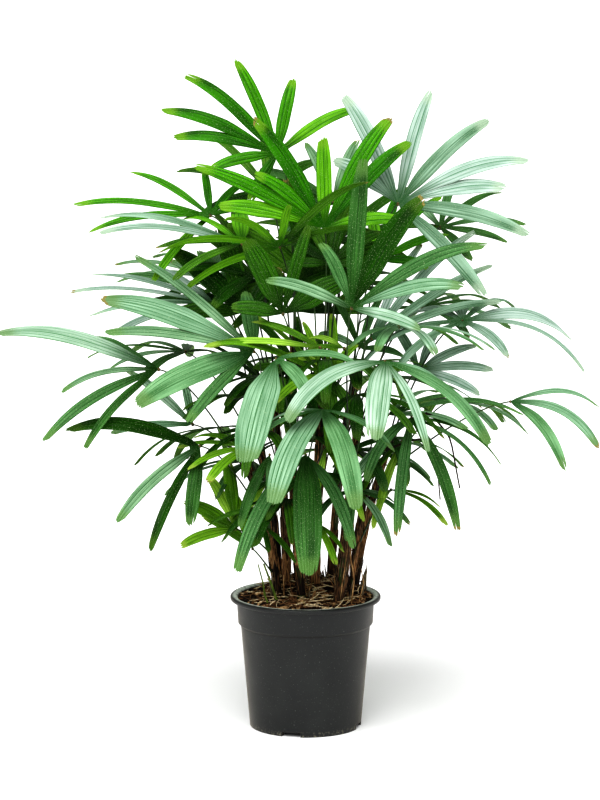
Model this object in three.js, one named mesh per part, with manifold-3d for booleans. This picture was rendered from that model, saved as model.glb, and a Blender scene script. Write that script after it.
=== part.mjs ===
// Lady palm (Rhapis) in a round black nursery pot: a clump of fibrous canes, each with long thin
// leaf stems that end in a fan of ribbed, blunt leaflets.
// Millimetres, +Z up, the front of the plant towards -Y. Origin: centre of the pot's underside.
import * as THREE from 'three';
import { mergeVertices } from 'three/addons/utils/BufferGeometryUtils.js';
import Module from 'manifold-3d';

const wasm = await Module();
wasm.setup();

// ---------------------------------------------------------------- driving dimensions

const CLEAR = 0.3;               // gap between neighbouring solids
const GRAIN = 0.005;             // grid that corners are snapped to
const SHORTEST = 0.12;           // shorter edges, left where solids are joined, are drawn together
const THINNEST = 0.02;           // a lower face is taken up by its neighbour
const CLEANING = 4;              // times that short edges and flat faces are looked for
const POT = {
  height: 212,
  rimRadius: 120,
  rimDepth: 7.5,                 // height of the rolled lip
  rimWidth: 6,                   // flat top of the lip, measured inwards
  rimRound: 2,                   // how much the lip's edges are eased
  collarRadius: 110,             // outside, just under the lip
  collarDepth: 44,               // from the rim's top down to the step
  collarTaper: 2.4,
  stepRun: 4,                    // height of the slope at the step
  bodyRadius: 103.6,             // outside, just under the step
  footRadius: 89,
  footBand: 8,                   // height of the narrow band round the foot
  footFlare: 0.6,
  wall: 2.2,
  floor: 8,                      // inside floor above the ground
  raised: 6,                     // underside of the raised part of the floor
  raisedSlope: 3,                // how far its edges lean
  padRadius: 28,                 // middle of the floor, which touches the ground
  ringInner: 79,                 // inner edge of the ring that the pot stands on
  sides: 40,
};
const NOTCH = { count: 4, width: 30, height: 7, firstBearing: 255, overrun: 6 };  // gaps in the foot ring
const SOIL = { level: 209, plateau: 88, edgeLevel: 204, edgeGap: 2 };
const CANE = {
  sides: 8,
  rings: 5,
  flare: 0.16,                   // how much wider the foot is, where old sheaths gather
  flareFade: 9,                  // how quickly that width is lost, per height of the cane
};
const STEM = {
  radius: 2.1,
  sides: 3,
  rings: 5,
  hubRadius: 6,
  thicker: 0.35,                 // how much thicker the stem is where it leaves the cane
  lead: 0.25,                    // how far it runs in line with the fan, of its reach
  rise: 0.05,                    // least height that the knee lies under the hub, of its reach
  kneeShare: 0.6,                // where the knee lies between the cane and the hub
};
const LEAFLET = {
  stations: [0, 0.28, 0.58, 0.85, 1],
  steps: 24,                     // steps in which its curve is worked out
  root: 3,                       // distance from the hub's centre to the leaflet's root
  widest: 20,                    // half angle that a leaflet may fill at the hub, in degrees
  slit: 0.86,                    // share of its angle that a leaflet fills, so that slits stay open
  rootShare: 0.16,               // width at the root, of the full width
  fullAt: 0.42,                  // share of the length where the leaflet reaches its full width
  taperAt: 0.6,                  // where it starts to narrow again
  tipShare: 0.42,                // width of the blunt tip
  fullLength: 180,               // leaflets shorter than this are narrower too
  narrower: 0.18,
  ridge: 1 / 80,                 // thickness at the rib, of the length
  ridgeLeast: 1.8,
  thinning: 0.2,                 // thickness lost towards the tip
  sag: 2,                        // how late along its length a leaflet starts to droop
  hang: 1.35,                    // how steeply its tip hangs, for a frond's droop of 1
  levelling: 0.4,                // how far its face turns up towards the tip
  apart: 0.8,                    // room kept round a leaflet
  widthVaries: 0.1,
  droopVaries: 0.2,
};
const FAN = { turnVaries: 5, lengthVaries: 0.12, outerShorter: 0.3 };   // for fans that open evenly
const TONES = { bright: 0x50961e, middle: 0x3a7a34, pale: 0x82aa8c, deep: 0x1e5523 };
const BLACK_PLASTIC = 0x2b2e30;
const PEAT = 0x33241a;
const FIBRE = 0x4a3522;

// Each cane: foot on the soil, head, radii at both, and how far its middle bows sideways.
const CANES = [
  { foot: [-42, 66], head: [-82, 79, 470], radii: [7, 5], bow: [8, 4] },
  { foot: [-29, 34], head: [-56, 36, 560], radii: [8, 5], bow: [5, 7] },
  { foot: [-8, 62], head: [-18, 65, 620], radii: [8, 5.5], bow: [-8, 0] },
  { foot: [16, 24], head: [30, 0, 580], radii: [8.5, 5.5], bow: [-4, 6] },
  { foot: [14, 86], head: [47, 130, 560], radii: [7.5, 5], bow: [-6, -8] },
  { foot: [40, 62], head: [79, 77, 560], radii: [7.5, 5], bow: [-6, -2] },
  { foot: [52, -42], head: [66, -58, 470], radii: [9, 6], bow: [10, 5] },
  { foot: [50, 12], head: [85, 6, 520], radii: [7.5, 5], bow: [2, 3] },
  { foot: [78, 44], head: [143, 53, 470], radii: [7, 4.8], bow: [-8, -3] },
  { foot: [-6, -22], head: [-12, -64, 420], radii: [8, 5.5], bow: [-3, 3] },
  { foot: [-44, -2], head: [-92, -16, 430], radii: [7, 5], bow: [6, 3] },
  { foot: [70, -8], head: [104, -20, 430], radii: [5.5, 4], bow: [-3, 2] },
];

// Each frond: its cane and the height where its stem leaves it, the hub that the fan opens from,
// the way the fan points (bearing: 0 right, 90 back, 180 left, 270 front; lift above level; roll
// about its own axis), droop, leaflet width, leaf tone, and a leaflet list of [turn in the fan,
// length, share of the width where it isn't 1]. A fan with no such list opens evenly and has
// [count, spread, length].
const FRONDS = [
  // top of the crown
  { cane: 2, from: 600, hub: [-45, 60, 910], aim: [180, 50, 78], droop: 0.35, width: 23, tone: 'bright',
    leaflets: [[-105, 85], [-55, 110], [-31, 165], [-20, 195], [-1, 190], [20, 160], [51, 120],
      [92, 152]] },
  { cane: 3, from: 560, hub: [30, -30, 800], aim: [180, 80, 80], droop: 0.3, width: 25, tone: 'bright',
    leaflets: [[-60, 170], [-48, 225], [-34, 140], [-18, 204], [9, 140], [36, 200], [49, 190],
      [85, 120]] },
  { cane: 7, from: 505, hub: [145, 10, 835], aim: [0, 50, -76], droop: 0.4, width: 25, tone: 'pale',
    leaflets: [[-87, 125], [-63, 192], [-28, 184], [0, 192], [20, 216], [32, 171], [54, 212],
      [90, 198]] },
  { cane: 1, from: 545, hub: [-150, 30, 815], aim: [180, 20, 50], droop: 0.4, width: 19, tone: 'bright',
    leaflets: [[-65, 150], [-20, 195], [-8, 215], [22, 150], [68, 90], [105, 100], [135, 100]] },
  { cane: 1, from: 500, hub: [-100, -20, 775], aim: [190, 18, 35], droop: 0.4, width: 20, tone: 'bright',
    leaflets: [[-42, 150], [-14, 140], [-2, 225], [8, 225], [50, 110], [85, 110, 1.9]] },
  { cane: 3, from: 500, hub: [-40, -70, 775], aim: [270, 60, 0], droop: 0.5, width: 15, tone: 'bright',
    leaflets: [[-62, 150], [-36, 200], [-8, 90], [40, 110], [75, 190], [105, 160]] },
  { cane: 4, from: 545, hub: [45, 150, 825], aim: [140, 45, 40], droop: 0.35, width: 19, tone: 'middle',
    leaflets: [6, 170, 140] },
  { cane: 4, from: 500, hub: [50, 200, 755], aim: [75, 40, 0], droop: 0.4, width: 21, tone: 'deep',
    leaflets: [7, 190, 190] },
  { cane: 5, from: 540, hub: [220, 200, 780], aim: [20, 25, -30], droop: 0.4, width: 16, tone: 'middle',
    leaflets: [6, 170, 145] },
  { cane: 5, from: 490, hub: [120, 120, 735], aim: [40, 55, 0], droop: 0.4, width: 21, tone: 'bright',
    leaflets: [6, 170, 160] },

  // middle of the front
  { cane: 3, from: 450, hub: [-35, -100, 675], aim: [180, 85, 80], droop: 0.25, width: 20, tone: 'deep',
    leaflets: [[-70, 80, 1.3], [-18, 128, 2.1], [12, 140], [62, 110, 1.9]] },
  { cane: 6, from: 450, hub: [70, -150, 690], aim: [0, 70, -78], droop: 0.4, width: 21, tone: 'middle',
    leaflets: [[-85, 140], [-40, 110], [-17, 226, 1.4], [6, 200, 1.5], [33, 230], [46, 176], [78, 110]] },
  { cane: 7, from: 450, hub: [145, -60, 650], aim: [285, 5, 0], droop: 0.7, width: 19, tone: 'pale',
    leaflets: [[-100, 110], [-72, 155], [-46, 150], [-8, 140], [32, 130], [70, 100]] },
  { cane: 6, from: 400, hub: [120, -200, 615], aim: [275, -15, 5], droop: 1, width: 21, tone: 'pale',
    leaflets: [[-80, 120], [-54, 215, 1.8], [-14, 212, 0.8], [12, 180, 1.7], [67, 195, 1.9]] },
  { cane: 9, from: 400, hub: [-45, -170, 615], aim: [262, -35, -5], droop: 1, width: 24, tone: 'pale',
    leaflets: [[-105, 150, 0.8], [-50, 90], [10, 190, 2.3]] },
  { cane: 10, from: 410, hub: [-80, -90, 615], aim: [195, 15, 55], droop: 0.3, width: 21, tone: 'middle',
    leaflets: [[-52, 170], [-30, 218, 1.9], [2, 235], [16, 250, 2], [44, 238], [80, 110, 1.3]] },
  { cane: 9, from: 360, hub: [25, -190, 540], aim: [268, -10, 0], droop: 1, width: 23, tone: 'pale',
    leaflets: [[-60, 140, 0.8], [-16, 240, 1.4], [19, 235, 1.9], [60, 160, 0.7], [88, 110, 0.7]] },
  { cane: 9, from: 320, hub: [0, -160, 465], aim: [268, -25, 0], droop: 1, width: 23, tone: 'middle',
    leaflets: [[-30, 190, 0.9], [-3, 232, 1.9], [31, 240]] },
  { cane: 11, from: 370, hub: [165, -80, 510], aim: [285, -30, 0], droop: 1.2, width: 19, tone: 'middle',
    leaflets: [[-78, 165, 0.6], [-55, 165, 0.6], [-10, 215, 1.1], [22, 225], [55, 140]] },
  { cane: 3, from: 400, hub: [25, -60, 575], aim: [200, 35, 40], droop: 0.45, width: 16, tone: 'bright',
    leaflets: [[-45, 130], [-8, 215], [16, 145], [60, 120]] },
  { cane: 3, from: 430, hub: [10, 50, 705], aim: [180, 80, 75], droop: 0.35, width: 22, tone: 'deep',
    leaflets: [[-70, 140, 1.5], [-35, 165, 1.7], [0, 170, 1.8], [33, 160, 1.7], [68, 140, 1.5]] },
  { cane: 1, from: 400, hub: [-95, 0, 665], aim: [180, 60, 70], droop: 0.35, width: 21, tone: 'deep',
    leaflets: [[-53, 120, 1.4], [-14, 150, 1.8], [25, 140, 1.8], [64, 120, 1.4]] },

  // left side
  { cane: 10, from: 370, hub: [-230, -40, 580], aim: [190, 20, 45], droop: 0.48, width: 19, tone: 'middle',
    leaflets: [[-56, 195, 0.7], [-42, 238], [-20, 165, 0.7], [7, 264, 1.8], [22, 120]] },
  { cane: 1, from: 450, hub: [-145, 30, 675], aim: [178, 12, 20], droop: 0.3, width: 17, tone: 'pale',
    leaflets: [[-38, 190], [-18, 200], [2, 228], [20, 215], [48, 160]] },
  { cane: 0, from: 440, hub: [-135, 80, 675], aim: [165, 25, 35], droop: 0.35, width: 19, tone: 'middle',
    leaflets: [[-30, 130], [0, 175], [24, 120], [48, 125, 1.5], [75, 140]] },
  { cane: 0, from: 360, hub: [-180, 40, 480], aim: [175, 20, 60], droop: 0.3, width: 16, tone: 'pale',
    leaflets: [[-20, 130], [25, 140], [60, 70]] },
  { cane: 10, from: 330, hub: [-165, -80, 465], aim: [205, 5, 55], droop: 0.55, width: 19, tone: 'middle',
    leaflets: [[-72, 135, 1.2], [-52, 200, 0.8], [-31, 195], [22, 215, 1.6]] },
  { cane: 10, from: 290, hub: [-90, -60, 460], aim: [200, 5, 20], droop: 0.5, width: 18, tone: 'bright',
    leaflets: [[-40, 120], [-8, 115], [20, 110], [55, 100]] },
  { cane: 0, from: 250, hub: [-110, -60, 330], aim: [190, 40, 70], droop: 0.35, width: 20, tone: 'bright',
    leaflets: [[-45, 95], [-3, 92, 1.2], [30, 90], [52, 110, 1.2], [95, 90]] },

  // right side
  { cane: 8, from: 450, hub: [250, 50, 645], aim: [0, 8, -35], droop: 1, width: 18, tone: 'pale',
    leaflets: [[-165, 200], [-130, 120], [-88, 55, 1.6], [-45, 140], [-9, 190, 1.6], [8, 220, 0.6],
      [40, 100], [160, 150]] },
  { cane: 8, from: 390, hub: [325, 20, 520], aim: [340, 15, -30], droop: 1, width: 17, tone: 'middle',
    leaflets: [[-12, 146, 0.9], [19, 182, 1.1], [46, 180]] },
  { cane: 11, from: 330, hub: [130, -20, 505], aim: [350, 20, -20], droop: 0.6, width: 17, tone: 'middle',
    leaflets: [[-50, 120], [-20, 130], [5, 220], [40, 150]] },
  { cane: 7, from: 350, hub: [140, -20, 470], aim: [260, -20, 0], droop: 0.9, width: 18, tone: 'middle',
    leaflets: [[-20, 110], [26, 135], [55, 110]] },
  { cane: 8, from: 420, hub: [182, 90, 561], aim: [0, 36, -62], droop: 0.35, width: 17, tone: 'pale',
    leaflets: [[-80, 80], [-35, 80], [5, 100], [28, 120], [50, 110]] },
  { cane: 11, from: 280, hub: [135, -20, 385], aim: [285, 0, 0], droop: 0.8, width: 13, tone: 'bright',
    leaflets: [[-58, 85], [-24, 140], [30, 130]] },
  { cane: 7, from: 400, hub: [105, 60, 615], aim: [5, 40, -70], droop: 0.3, width: 15, tone: 'pale',
    leaflets: [[-27, 173], [-13, 238], [3, 225], [20, 215], [50, 150]] },

  // back
  { cane: 2, from: 560, hub: [-60, 190, 840], aim: [115, 45, 0], droop: 0.45, width: 21, tone: 'deep',
    leaflets: [6, 190, 175] },
  { cane: 0, from: 455, hub: [-150, 180, 700], aim: [125, 20, 0], droop: 0.5, width: 21, tone: 'middle',
    leaflets: [7, 200, 180] },
  { cane: 4, from: 450, hub: [60, 240, 680], aim: [85, 15, 0], droop: 0.6, width: 22, tone: 'deep',
    leaflets: [7, 210, 185] },
  { cane: 5, from: 440, hub: [190, 190, 650], aim: [45, 12, 0], droop: 0.6, width: 21, tone: 'middle',
    leaflets: [7, 200, 165] },
  { cane: 0, from: 400, hub: [-195, 160, 580], aim: [145, 8, 0], droop: 0.6, width: 20, tone: 'middle',
    leaflets: [6, 180, 170] },
  { cane: 4, from: 400, hub: [-20, 240, 560], aim: [100, -5, 0], droop: 0.8, width: 22, tone: 'deep',
    leaflets: [6, 180, 180] },
  { cane: 5, from: 380, hub: [140, 220, 530], aim: [62, -5, 0], droop: 0.8, width: 21, tone: 'middle',
    leaflets: [6, 180, 180] },
  { cane: 8, from: 350, hub: [235, 150, 500], aim: [35, 0, 0], droop: 0.8, width: 19, tone: 'middle',
    leaflets: [6, 180, 160] },
  { cane: 0, from: 310, hub: [-140, 190, 450], aim: [125, -8, 0], droop: 0.8, width: 20, tone: 'deep',
    leaflets: [5, 160, 165] },
  { cane: 4, from: 320, hub: [40, 210, 410], aim: [85, -10, 0], droop: 0.8, width: 20, tone: 'middle',
    leaflets: [5, 160, 165] },
];

// ---------------------------------------------------------------- helpers

const UP = new THREE.Vector3(0, 0, 1);
const EAST = new THREE.Vector3(1, 0, 0);
const NORTH = new THREE.Vector3(0, 1, 0);
const radians = THREE.MathUtils.degToRad;
const mix = THREE.MathUtils.lerp;

// A repeatable number from -1 to 1 for a frond, a leaflet and a purpose.
function vary(frond, leaflet, purpose) {
  const wave = Math.sin(frond * 12.9898 + leaflet * 78.233 + purpose * 37.719) * 43758.5453;
  return 2 * (wave - Math.floor(wave)) - 1;
}

// A closed geometry as a solid for joining and cutting.
function solidOf(geometry) {
  const bare = geometry.index ? geometry.toNonIndexed() : geometry.clone();
  bare.deleteAttribute('normal');
  bare.deleteAttribute('uv');
  const merged = mergeVertices(bare, 1e-4);
  return new wasm.Manifold(new wasm.Mesh({
    numProp: 3,
    vertProperties: new Float32Array(merged.attributes.position.array),
    triVerts: new Uint32Array(merged.index.array),
  }));
}

// The largest of a solid's separate bodies.
function largest(solid) {
  return solid.decompose().sort((a, b) => b.volume() - a.volume())[0];
}

// Draws the ends of each very short edge together, where that leaves the skin closed: its ends
// have no neighbours in common but the far corners of its two faces.
function drawTogether(faces, place) {
  const beside = (v) => new Set(faces.filter((face) => face.includes(v)).flat());
  const shared = (a, b) => [...beside(a)].filter((v) => v !== a && v !== b && beside(b).has(v)).length;
  for (;;) {
    const edges = faces.flatMap(([a, b, c]) => [[a, b], [b, c], [c, a]]);
    const short = edges.find(([a, b]) => place(a).distanceTo(place(b)) < SHORTEST && shared(a, b) === 2);
    if (!short) return faces;
    const [kept, gone] = short;
    faces = faces.map((face) => face.map((v) => (v === gone ? kept : v)))
      .filter((face) => new Set(face).size === 3);
  }
}

// Turns the long edge of each face that is nearly flat: the edge then runs from the face's own
// corner to the far corner of its neighbour, which is split there.
function turnFlatFaces(faces, place) {
  const edge = new THREE.Line3();
  const foot = new THREE.Vector3();
  const height = ([a, b, c]) => {
    edge.set(place(a), place(b));
    return edge.closestPointToPoint(place(c), true, foot).distanceTo(place(c));
  };
  faces.forEach((face, i) => {
    const turned = [0, 1, 2].map((k) => [face[k], face[(k + 1) % 3], face[(k + 2) % 3]]);
    const [a, b, c] = turned.sort((one, two) => height(one) - height(two))[0];
    if (height([a, b, c]) >= THINNEST) return;
    const next = faces.findIndex((other) => other.includes(a) && other.includes(b) && !other.includes(c));
    if (next < 0) return;
    const far = faces[next].find((v) => v !== a && v !== b);
    if (faces.some((other) => other.includes(c) && other.includes(far))) return;
    faces[i] = [a, far, c];
    faces[next] = [far, b, c];
  });
  return faces;
}

// The solid's skin with its corners snapped to a fine grid. Faces that this flattens are left out,
// and so are two faces that it lays back to back.
function geometryOf(solid) {
  const { vertProperties, triVerts, numProp } = solid.getMesh();
  const corners = new Float32Array(triVerts.length * 3);
  triVerts.forEach((vertex, corner) => {
    for (let k = 0; k < 3; k++) {
      corners[3 * corner + k] = Math.round(vertProperties[numProp * vertex + k] / GRAIN) * GRAIN;
    }
  });
  const loose = new THREE.BufferGeometry();
  loose.setAttribute('position', new THREE.BufferAttribute(corners, 3));
  const geometry = mergeVertices(loose, GRAIN / 4);
  const faces = new Map();
  const index = geometry.index.array;
  for (let i = 0; i < index.length; i += 3) {
    const face = [index[i], index[i + 1], index[i + 2]];
    if (new Set(face).size < 3) continue;
    const key = [...face].sort((a, b) => a - b).join(' ');
    if (faces.has(key)) faces.delete(key);
    else faces.set(key, face);
  }
  const place = (v) => new THREE.Vector3().fromBufferAttribute(geometry.attributes.position, v);
  let clean = [...faces.values()];
  for (let pass = 0; pass < CLEANING; pass++) {
    clean = turnFlatFaces(drawTogether(clean, place), place);
  }
  geometry.setIndex(clean.flat());
  geometry.computeVertexNormals();
  return geometry;
}

function ringAt(centre, across, along, radius, sides) {
  const ring = [];
  for (let i = 0; i < sides; i++) {
    const angle = 2 * Math.PI * i / sides;
    ring.push(centre.clone()
      .addScaledVector(across, radius * Math.cos(angle))
      .addScaledVector(along, radius * Math.sin(angle)));
  }
  return ring;
}

// Joins rings of points, each with the same count and turning the same way, into a closed skin.
// Each patch between two rings is split so that it bulges outwards: the two sides of a thin,
// twisted blade then never pass through each other.
function skin(rings) {
  const count = rings[0].length;
  const points = rings.flat();
  const corners = points.flatMap((p) => [p.x, p.y, p.z]);
  const faces = [];
  for (let r = 0; r + 1 < rings.length; r++) {
    for (let i = 0; i < count; i++) {
      const a = r * count + i;
      const b = r * count + (i + 1) % count;
      const [c, d] = [b + count, a + count];
      const along = points[d].clone().sub(points[a]);
      const outward = points[b].clone().sub(points[a]).cross(along);
      const bulge = points[a].clone().add(points[c]).sub(points[b]).sub(points[d]);
      if (bulge.dot(outward) >= 0) faces.push(a, b, c, a, c, d);
      else faces.push(a, b, d, b, c, d);
    }
  }
  const last = (rings.length - 1) * count;
  for (let i = 1; i + 1 < count; i++) {
    faces.push(0, i + 1, i, last, last + i, last + i + 1);
  }
  const geometry = new THREE.BufferGeometry();
  geometry.setAttribute('position', new THREE.BufferAttribute(new Float32Array(corners), 3));
  geometry.setIndex(faces);
  return geometry;
}

function revolve(profile, sides) {
  const turned = new THREE.LatheGeometry(profile.map(([r, z]) => new THREE.Vector2(r, z)), sides);
  return turned.rotateX(Math.PI / 2);
}

// ---------------------------------------------------------------- pot and potting mix

const POT_STEP = POT.height - POT.collarDepth;   // height where the collar meets the body
const POT_LIP = POT.height - POT.rimDepth;       // underside of the rolled lip

// Outside radius of the pot's wall below the lip.
function potRadius(z) {
  if (z >= POT_STEP) return POT.collarRadius - POT.collarTaper * (POT.height - z) / POT.collarDepth;
  return mix(POT.footRadius, POT.bodyRadius, z / POT_STEP);
}

function wallInside(z) {
  return potRadius(z) - POT.wall;
}

function makePot() {
  const underStep = POT_STEP - POT.stepRun;
  const bandTop = POT.footBand + POT.rimRound;
  const profile = [
    [0, 0], [POT.padRadius, 0],
    [POT.padRadius + POT.raisedSlope, POT.raised], [POT.ringInner - POT.raisedSlope, POT.raised],
    [POT.ringInner, 0], [POT.footRadius, 0], [POT.footRadius + POT.footFlare, POT.footBand],
    [potRadius(bandTop), bandTop], [potRadius(underStep), underStep],
    [potRadius(POT_STEP), POT_STEP], [potRadius(POT_LIP), POT_LIP],
    [POT.rimRadius - POT.rimRound / 2, POT_LIP], [POT.rimRadius, POT_LIP + POT.rimRound],
    [POT.rimRadius, POT.height - POT.rimRound], [POT.rimRadius - POT.rimRound, POT.height],
    [POT.rimRadius - POT.rimWidth, POT.height],
    [wallInside(POT_LIP) + POT.rimRound, POT.height - POT.rimRound], [wallInside(POT_LIP), POT_LIP],
    [wallInside(POT_STEP), POT_STEP], [wallInside(underStep), underStep],
    [wallInside(POT.floor), POT.floor], [0, POT.floor],
  ];
  let pot = solidOf(revolve(profile, POT.sides));
  for (let i = 0; i < NOTCH.count; i++) {
    const bearing = radians(NOTCH.firstBearing + i * 360 / NOTCH.count);
    const length = POT.footRadius - POT.ringInner + 2 * NOTCH.overrun;
    const block = new THREE.BoxGeometry(length, NOTCH.width, 2 * NOTCH.height);
    block.translate((POT.footRadius + POT.ringInner) / 2, 0, 0).rotateZ(bearing);
    pot = pot.subtract(solidOf(block));
  }
  return pot;
}

// The mix fills the pot to a flat top that falls away a little at the wall.
function makeSoil() {
  const bottom = POT.floor + CLEAR;
  const underStep = POT_STEP - POT.stepRun;
  const gap = 2 * CLEAR;
  return solidOf(revolve([
    [0, bottom], [wallInside(POT.floor) - gap, bottom], [wallInside(underStep) - gap, underStep],
    [wallInside(SOIL.edgeLevel) - SOIL.edgeGap, SOIL.edgeLevel],
    [SOIL.plateau, SOIL.level], [0, SOIL.level],
  ], POT.sides));
}

// ---------------------------------------------------------------- canes

const GROUND = SOIL.level + CLEAR;   // height of the flat cut at each cane's foot

// The point on a cane's axis at a share of its height, from 0 at the soil to 1 at the head.
function onCane({ foot, head, bow }, share) {
  const arch = Math.sin(Math.PI * share);
  return new THREE.Vector3(
    mix(foot[0], head[0], share) + bow[0] * arch,
    mix(foot[1], head[1], share) + bow[1] * arch,
    mix(GROUND, head[2], share),
  );
}

// Level rings, so that both ends are flat cuts. Grow makes the cane that much fatter all round.
function makeCane(cane, grow) {
  const rings = [];
  for (let r = 0; r <= CANE.rings; r++) {
    const share = r / CANE.rings;
    const centre = onCane(cane, share);
    if (r === CANE.rings) centre.z += grow;
    const flare = 1 + CANE.flare * Math.exp(-share * CANE.flareFade);
    const radius = mix(cane.radii[0], cane.radii[1], share) * flare + grow;
    rings.push(ringAt(centre, EAST, NORTH, radius, CANE.sides));
  }
  return solidOf(skin(rings));
}

// ---------------------------------------------------------------- fronds

// The fan's own directions: out along its middle, across it, and its upper face.
function fanAxes([bearing, lift, roll]) {
  const b = radians(bearing);
  const e = radians(lift);
  const r = radians(roll);
  const out = new THREE.Vector3(Math.cos(b) * Math.cos(e), Math.sin(b) * Math.cos(e), Math.sin(e));
  const level = new THREE.Vector3(Math.sin(b), -Math.cos(b), 0);
  const face = level.clone().cross(out);
  const across = level.clone().multiplyScalar(Math.cos(r)).addScaledVector(face, Math.sin(r));
  const upper = face.multiplyScalar(Math.cos(r)).addScaledVector(level, -Math.sin(r));
  return { out, across, upper };
}

// A thin stem from the cane's axis to the hub, with its knee pulled sideways.
function makeStem(frond, pull, grow) {
  const cane = CANES[frond.cane];
  const start = onCane(cane, (frond.from - GROUND) / (cane.head[2] - GROUND));
  const hub = new THREE.Vector3(...frond.hub);
  const reach = start.distanceTo(hub);
  const side = new THREE.Vector3(start.y - hub.y, hub.x - start.x, 0).normalize();
  const ahead = hub.clone().addScaledVector(fanAxes(frond.aim).out, -STEM.lead * reach);
  const below = start.clone().lerp(hub, STEM.kneeShare).setZ(hub.z);
  const knee = ahead.lerp(below, 0.5);
  knee.z = Math.min(knee.z, hub.z - STEM.rise * reach);
  knee.addScaledVector(side, pull);
  const curve = new THREE.QuadraticBezierCurve3(start, knee, hub);
  const rings = [];
  for (let r = 0; r <= STEM.rings; r++) {
    const t = r / STEM.rings;
    const across = new THREE.Vector3().crossVectors(curve.getTangent(t), side).normalize();
    const radius = STEM.radius * (1 + STEM.thicker * (1 - t)) + grow;
    rings.push(ringAt(curve.getPoint(t), side, across, radius, STEM.sides));
  }
  return solidOf(skin(rings));
}

// A leaflet's width at a share of its length, of its full width.
function widthAt(t) {
  const rise = Math.sin(Math.PI / 2 * Math.min(1, t / LEAFLET.fullAt));
  const late = Math.max(0, (t - LEAFLET.taperAt) / (1 - LEAFLET.taperAt));
  return mix(LEAFLET.rootShare, 1, rise) * mix(1, LEAFLET.tipShare, late * late);
}

// The three corners of a leaflet's section: two edges and the raised rib between them.
function leafletSection(place, along, side, half, thick, grow) {
  const face = new THREE.Vector3().crossVectors(side, along);
  return [
    place.clone().addScaledVector(side, -half).addScaledVector(face, -grow),
    place.clone().addScaledVector(face, thick + grow),
    place.clone().addScaledVector(side, half).addScaledVector(face, -grow),
  ];
}

// One leaflet: it leaves the hub along start, droops under its weight and turns its face up.
// Room is how much of its width it may take for each millimetre from the hub.
function makeLeaflet(hub, start, upper, { length, width, room, droop }, grow) {
  const flat = new THREE.Vector3().crossVectors(start, upper).normalize();
  const place = hub.clone().addScaledVector(start, LEAFLET.root);
  const thick = Math.max(LEAFLET.ridgeLeast, length * LEAFLET.ridge);
  const rings = [];
  for (let i = 0; i <= LEAFLET.steps; i++) {
    const t = i / LEAFLET.steps;
    const fall = LEAFLET.hang * droop * t ** LEAFLET.sag;
    const along = start.clone().addScaledVector(UP, -fall).normalize();
    if (i > 0) place.addScaledVector(along, length / LEAFLET.steps);
    if (t < LEAFLET.stations[rings.length] - 0.5 / LEAFLET.steps) continue;
    const level = new THREE.Vector3().crossVectors(along, UP);
    if (level.dot(flat) < 0) level.negate();
    const side = flat.clone().lerp(level, LEAFLET.levelling * t);
    side.addScaledVector(along, -side.dot(along)).normalize();
    const half = Math.min(width / 2 * widthAt(t), room * (LEAFLET.root + t * length)) + grow;
    if (i === LEAFLET.steps) place.addScaledVector(along, grow);
    rings.push(leafletSection(place, along, side, half, thick * (1 - LEAFLET.thinning * t), grow));
  }
  return solidOf(skin(rings));
}

// A frond's leaflets as [turn, length, share of the width] rows.
function leafletRows({ leaflets }, index) {
  if (Array.isArray(leaflets[0])) return leaflets;
  const [count, spread, length] = leaflets;
  return Array.from({ length: count }, (_, i) => {
    const across = i / (count - 1) - 0.5;
    const turn = spread * across + FAN.turnVaries * vary(index, i, 1);
    const shorter = 1 - FAN.outerShorter * (2 * across) ** 2;
    return [turn, length * shorter * (1 + FAN.lengthVaries * vary(index, i, 2))];
  });
}

// ---------------------------------------------------------------- growing the plant

const plant = new THREE.Group();
const placed = [];               // every limb and leaflet that stands so far

function boxesMeet(a, b) {
  return [0, 1, 2].every((k) => a.min[k] <= b.max[k] && b.min[k] <= a.max[k]);
}

// Whether a solid touches nothing that another frond or cane has put in place.
function isFree(solid, owner) {
  const box = solid.boundingBox();
  return !placed.some((other) => other.owner !== owner && boxesMeet(box, other.box)
    && solid.intersect(other.solid).volume() > 0);
}

function put(solid, owner) {
  placed.push({ solid, owner, box: solid.boundingBox() });
}

function addNode(name, solid, color, roughness) {
  const material = new THREE.MeshStandardMaterial({ color, roughness, metalness: 0 });
  const mesh = new THREE.Mesh(geometryOf(largest(solid)), material);
  mesh.name = name;
  plant.add(mesh);
}

function numbered(word, index) {
  return `${word}_${String(index + 1).padStart(2, '0')}`;
}

addNode('pot', makePot(), BLACK_PLASTIC, 0.6);
addNode('potting_mix', makeSoil(), PEAT, 0.95);

CANES.forEach((cane, index) => {
  const solid = makeCane(cane, 0);
  put(solid, numbered('cane', index));
  addNode(numbered('cane', index), solid, FIBRE, 0.9);
});
const caneRooms = CANES.map((cane) => makeCane(cane, CLEAR));

// Ways to clear a neighbour, tried in turn: a stem's knee is pulled aside, and a leaflet is turned
// aside, droops less or more, or is shorter. A leaflet that no way clears is left out.
const PULLS = [0, 10, -10, 20, -20, 32, -32, 45, -45];
const TURNS = [0, 4, -4, 8, -8, 13, -13];
const DROOPS = [1, 0.72, 1.35];
const LENGTHS = [1, 0.75];

function growStem(frond, name) {
  const hub = solidOf(new THREE.OctahedronGeometry(STEM.hubRadius, 0).translate(...frond.hub));
  const free = (grow, pull) => makeStem(frond, pull, grow).add(hub).subtract(caneRooms[frond.cane]);
  const pull = PULLS.find((aside) => isFree(largest(free(LEAFLET.apart, aside)), name));
  if (pull === undefined) throw new Error(`no free way for the stem of ${name}`);
  return free(0, pull);
}

// How much of its width a leaflet may take at each distance from the hub, next to its neighbours.
function roomBeside(rows, leaflet) {
  const [turn, , broad = 1] = rows[leaflet];
  const beside = [rows[leaflet - 1], rows[leaflet + 1]].filter(Boolean);
  const gaps = beside.map(([other, , wide = 1]) => Math.abs(other - turn) * broad / (broad + wide));
  return LEAFLET.slit * Math.tan(radians(Math.min(...gaps, LEAFLET.widest)));
}

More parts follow.
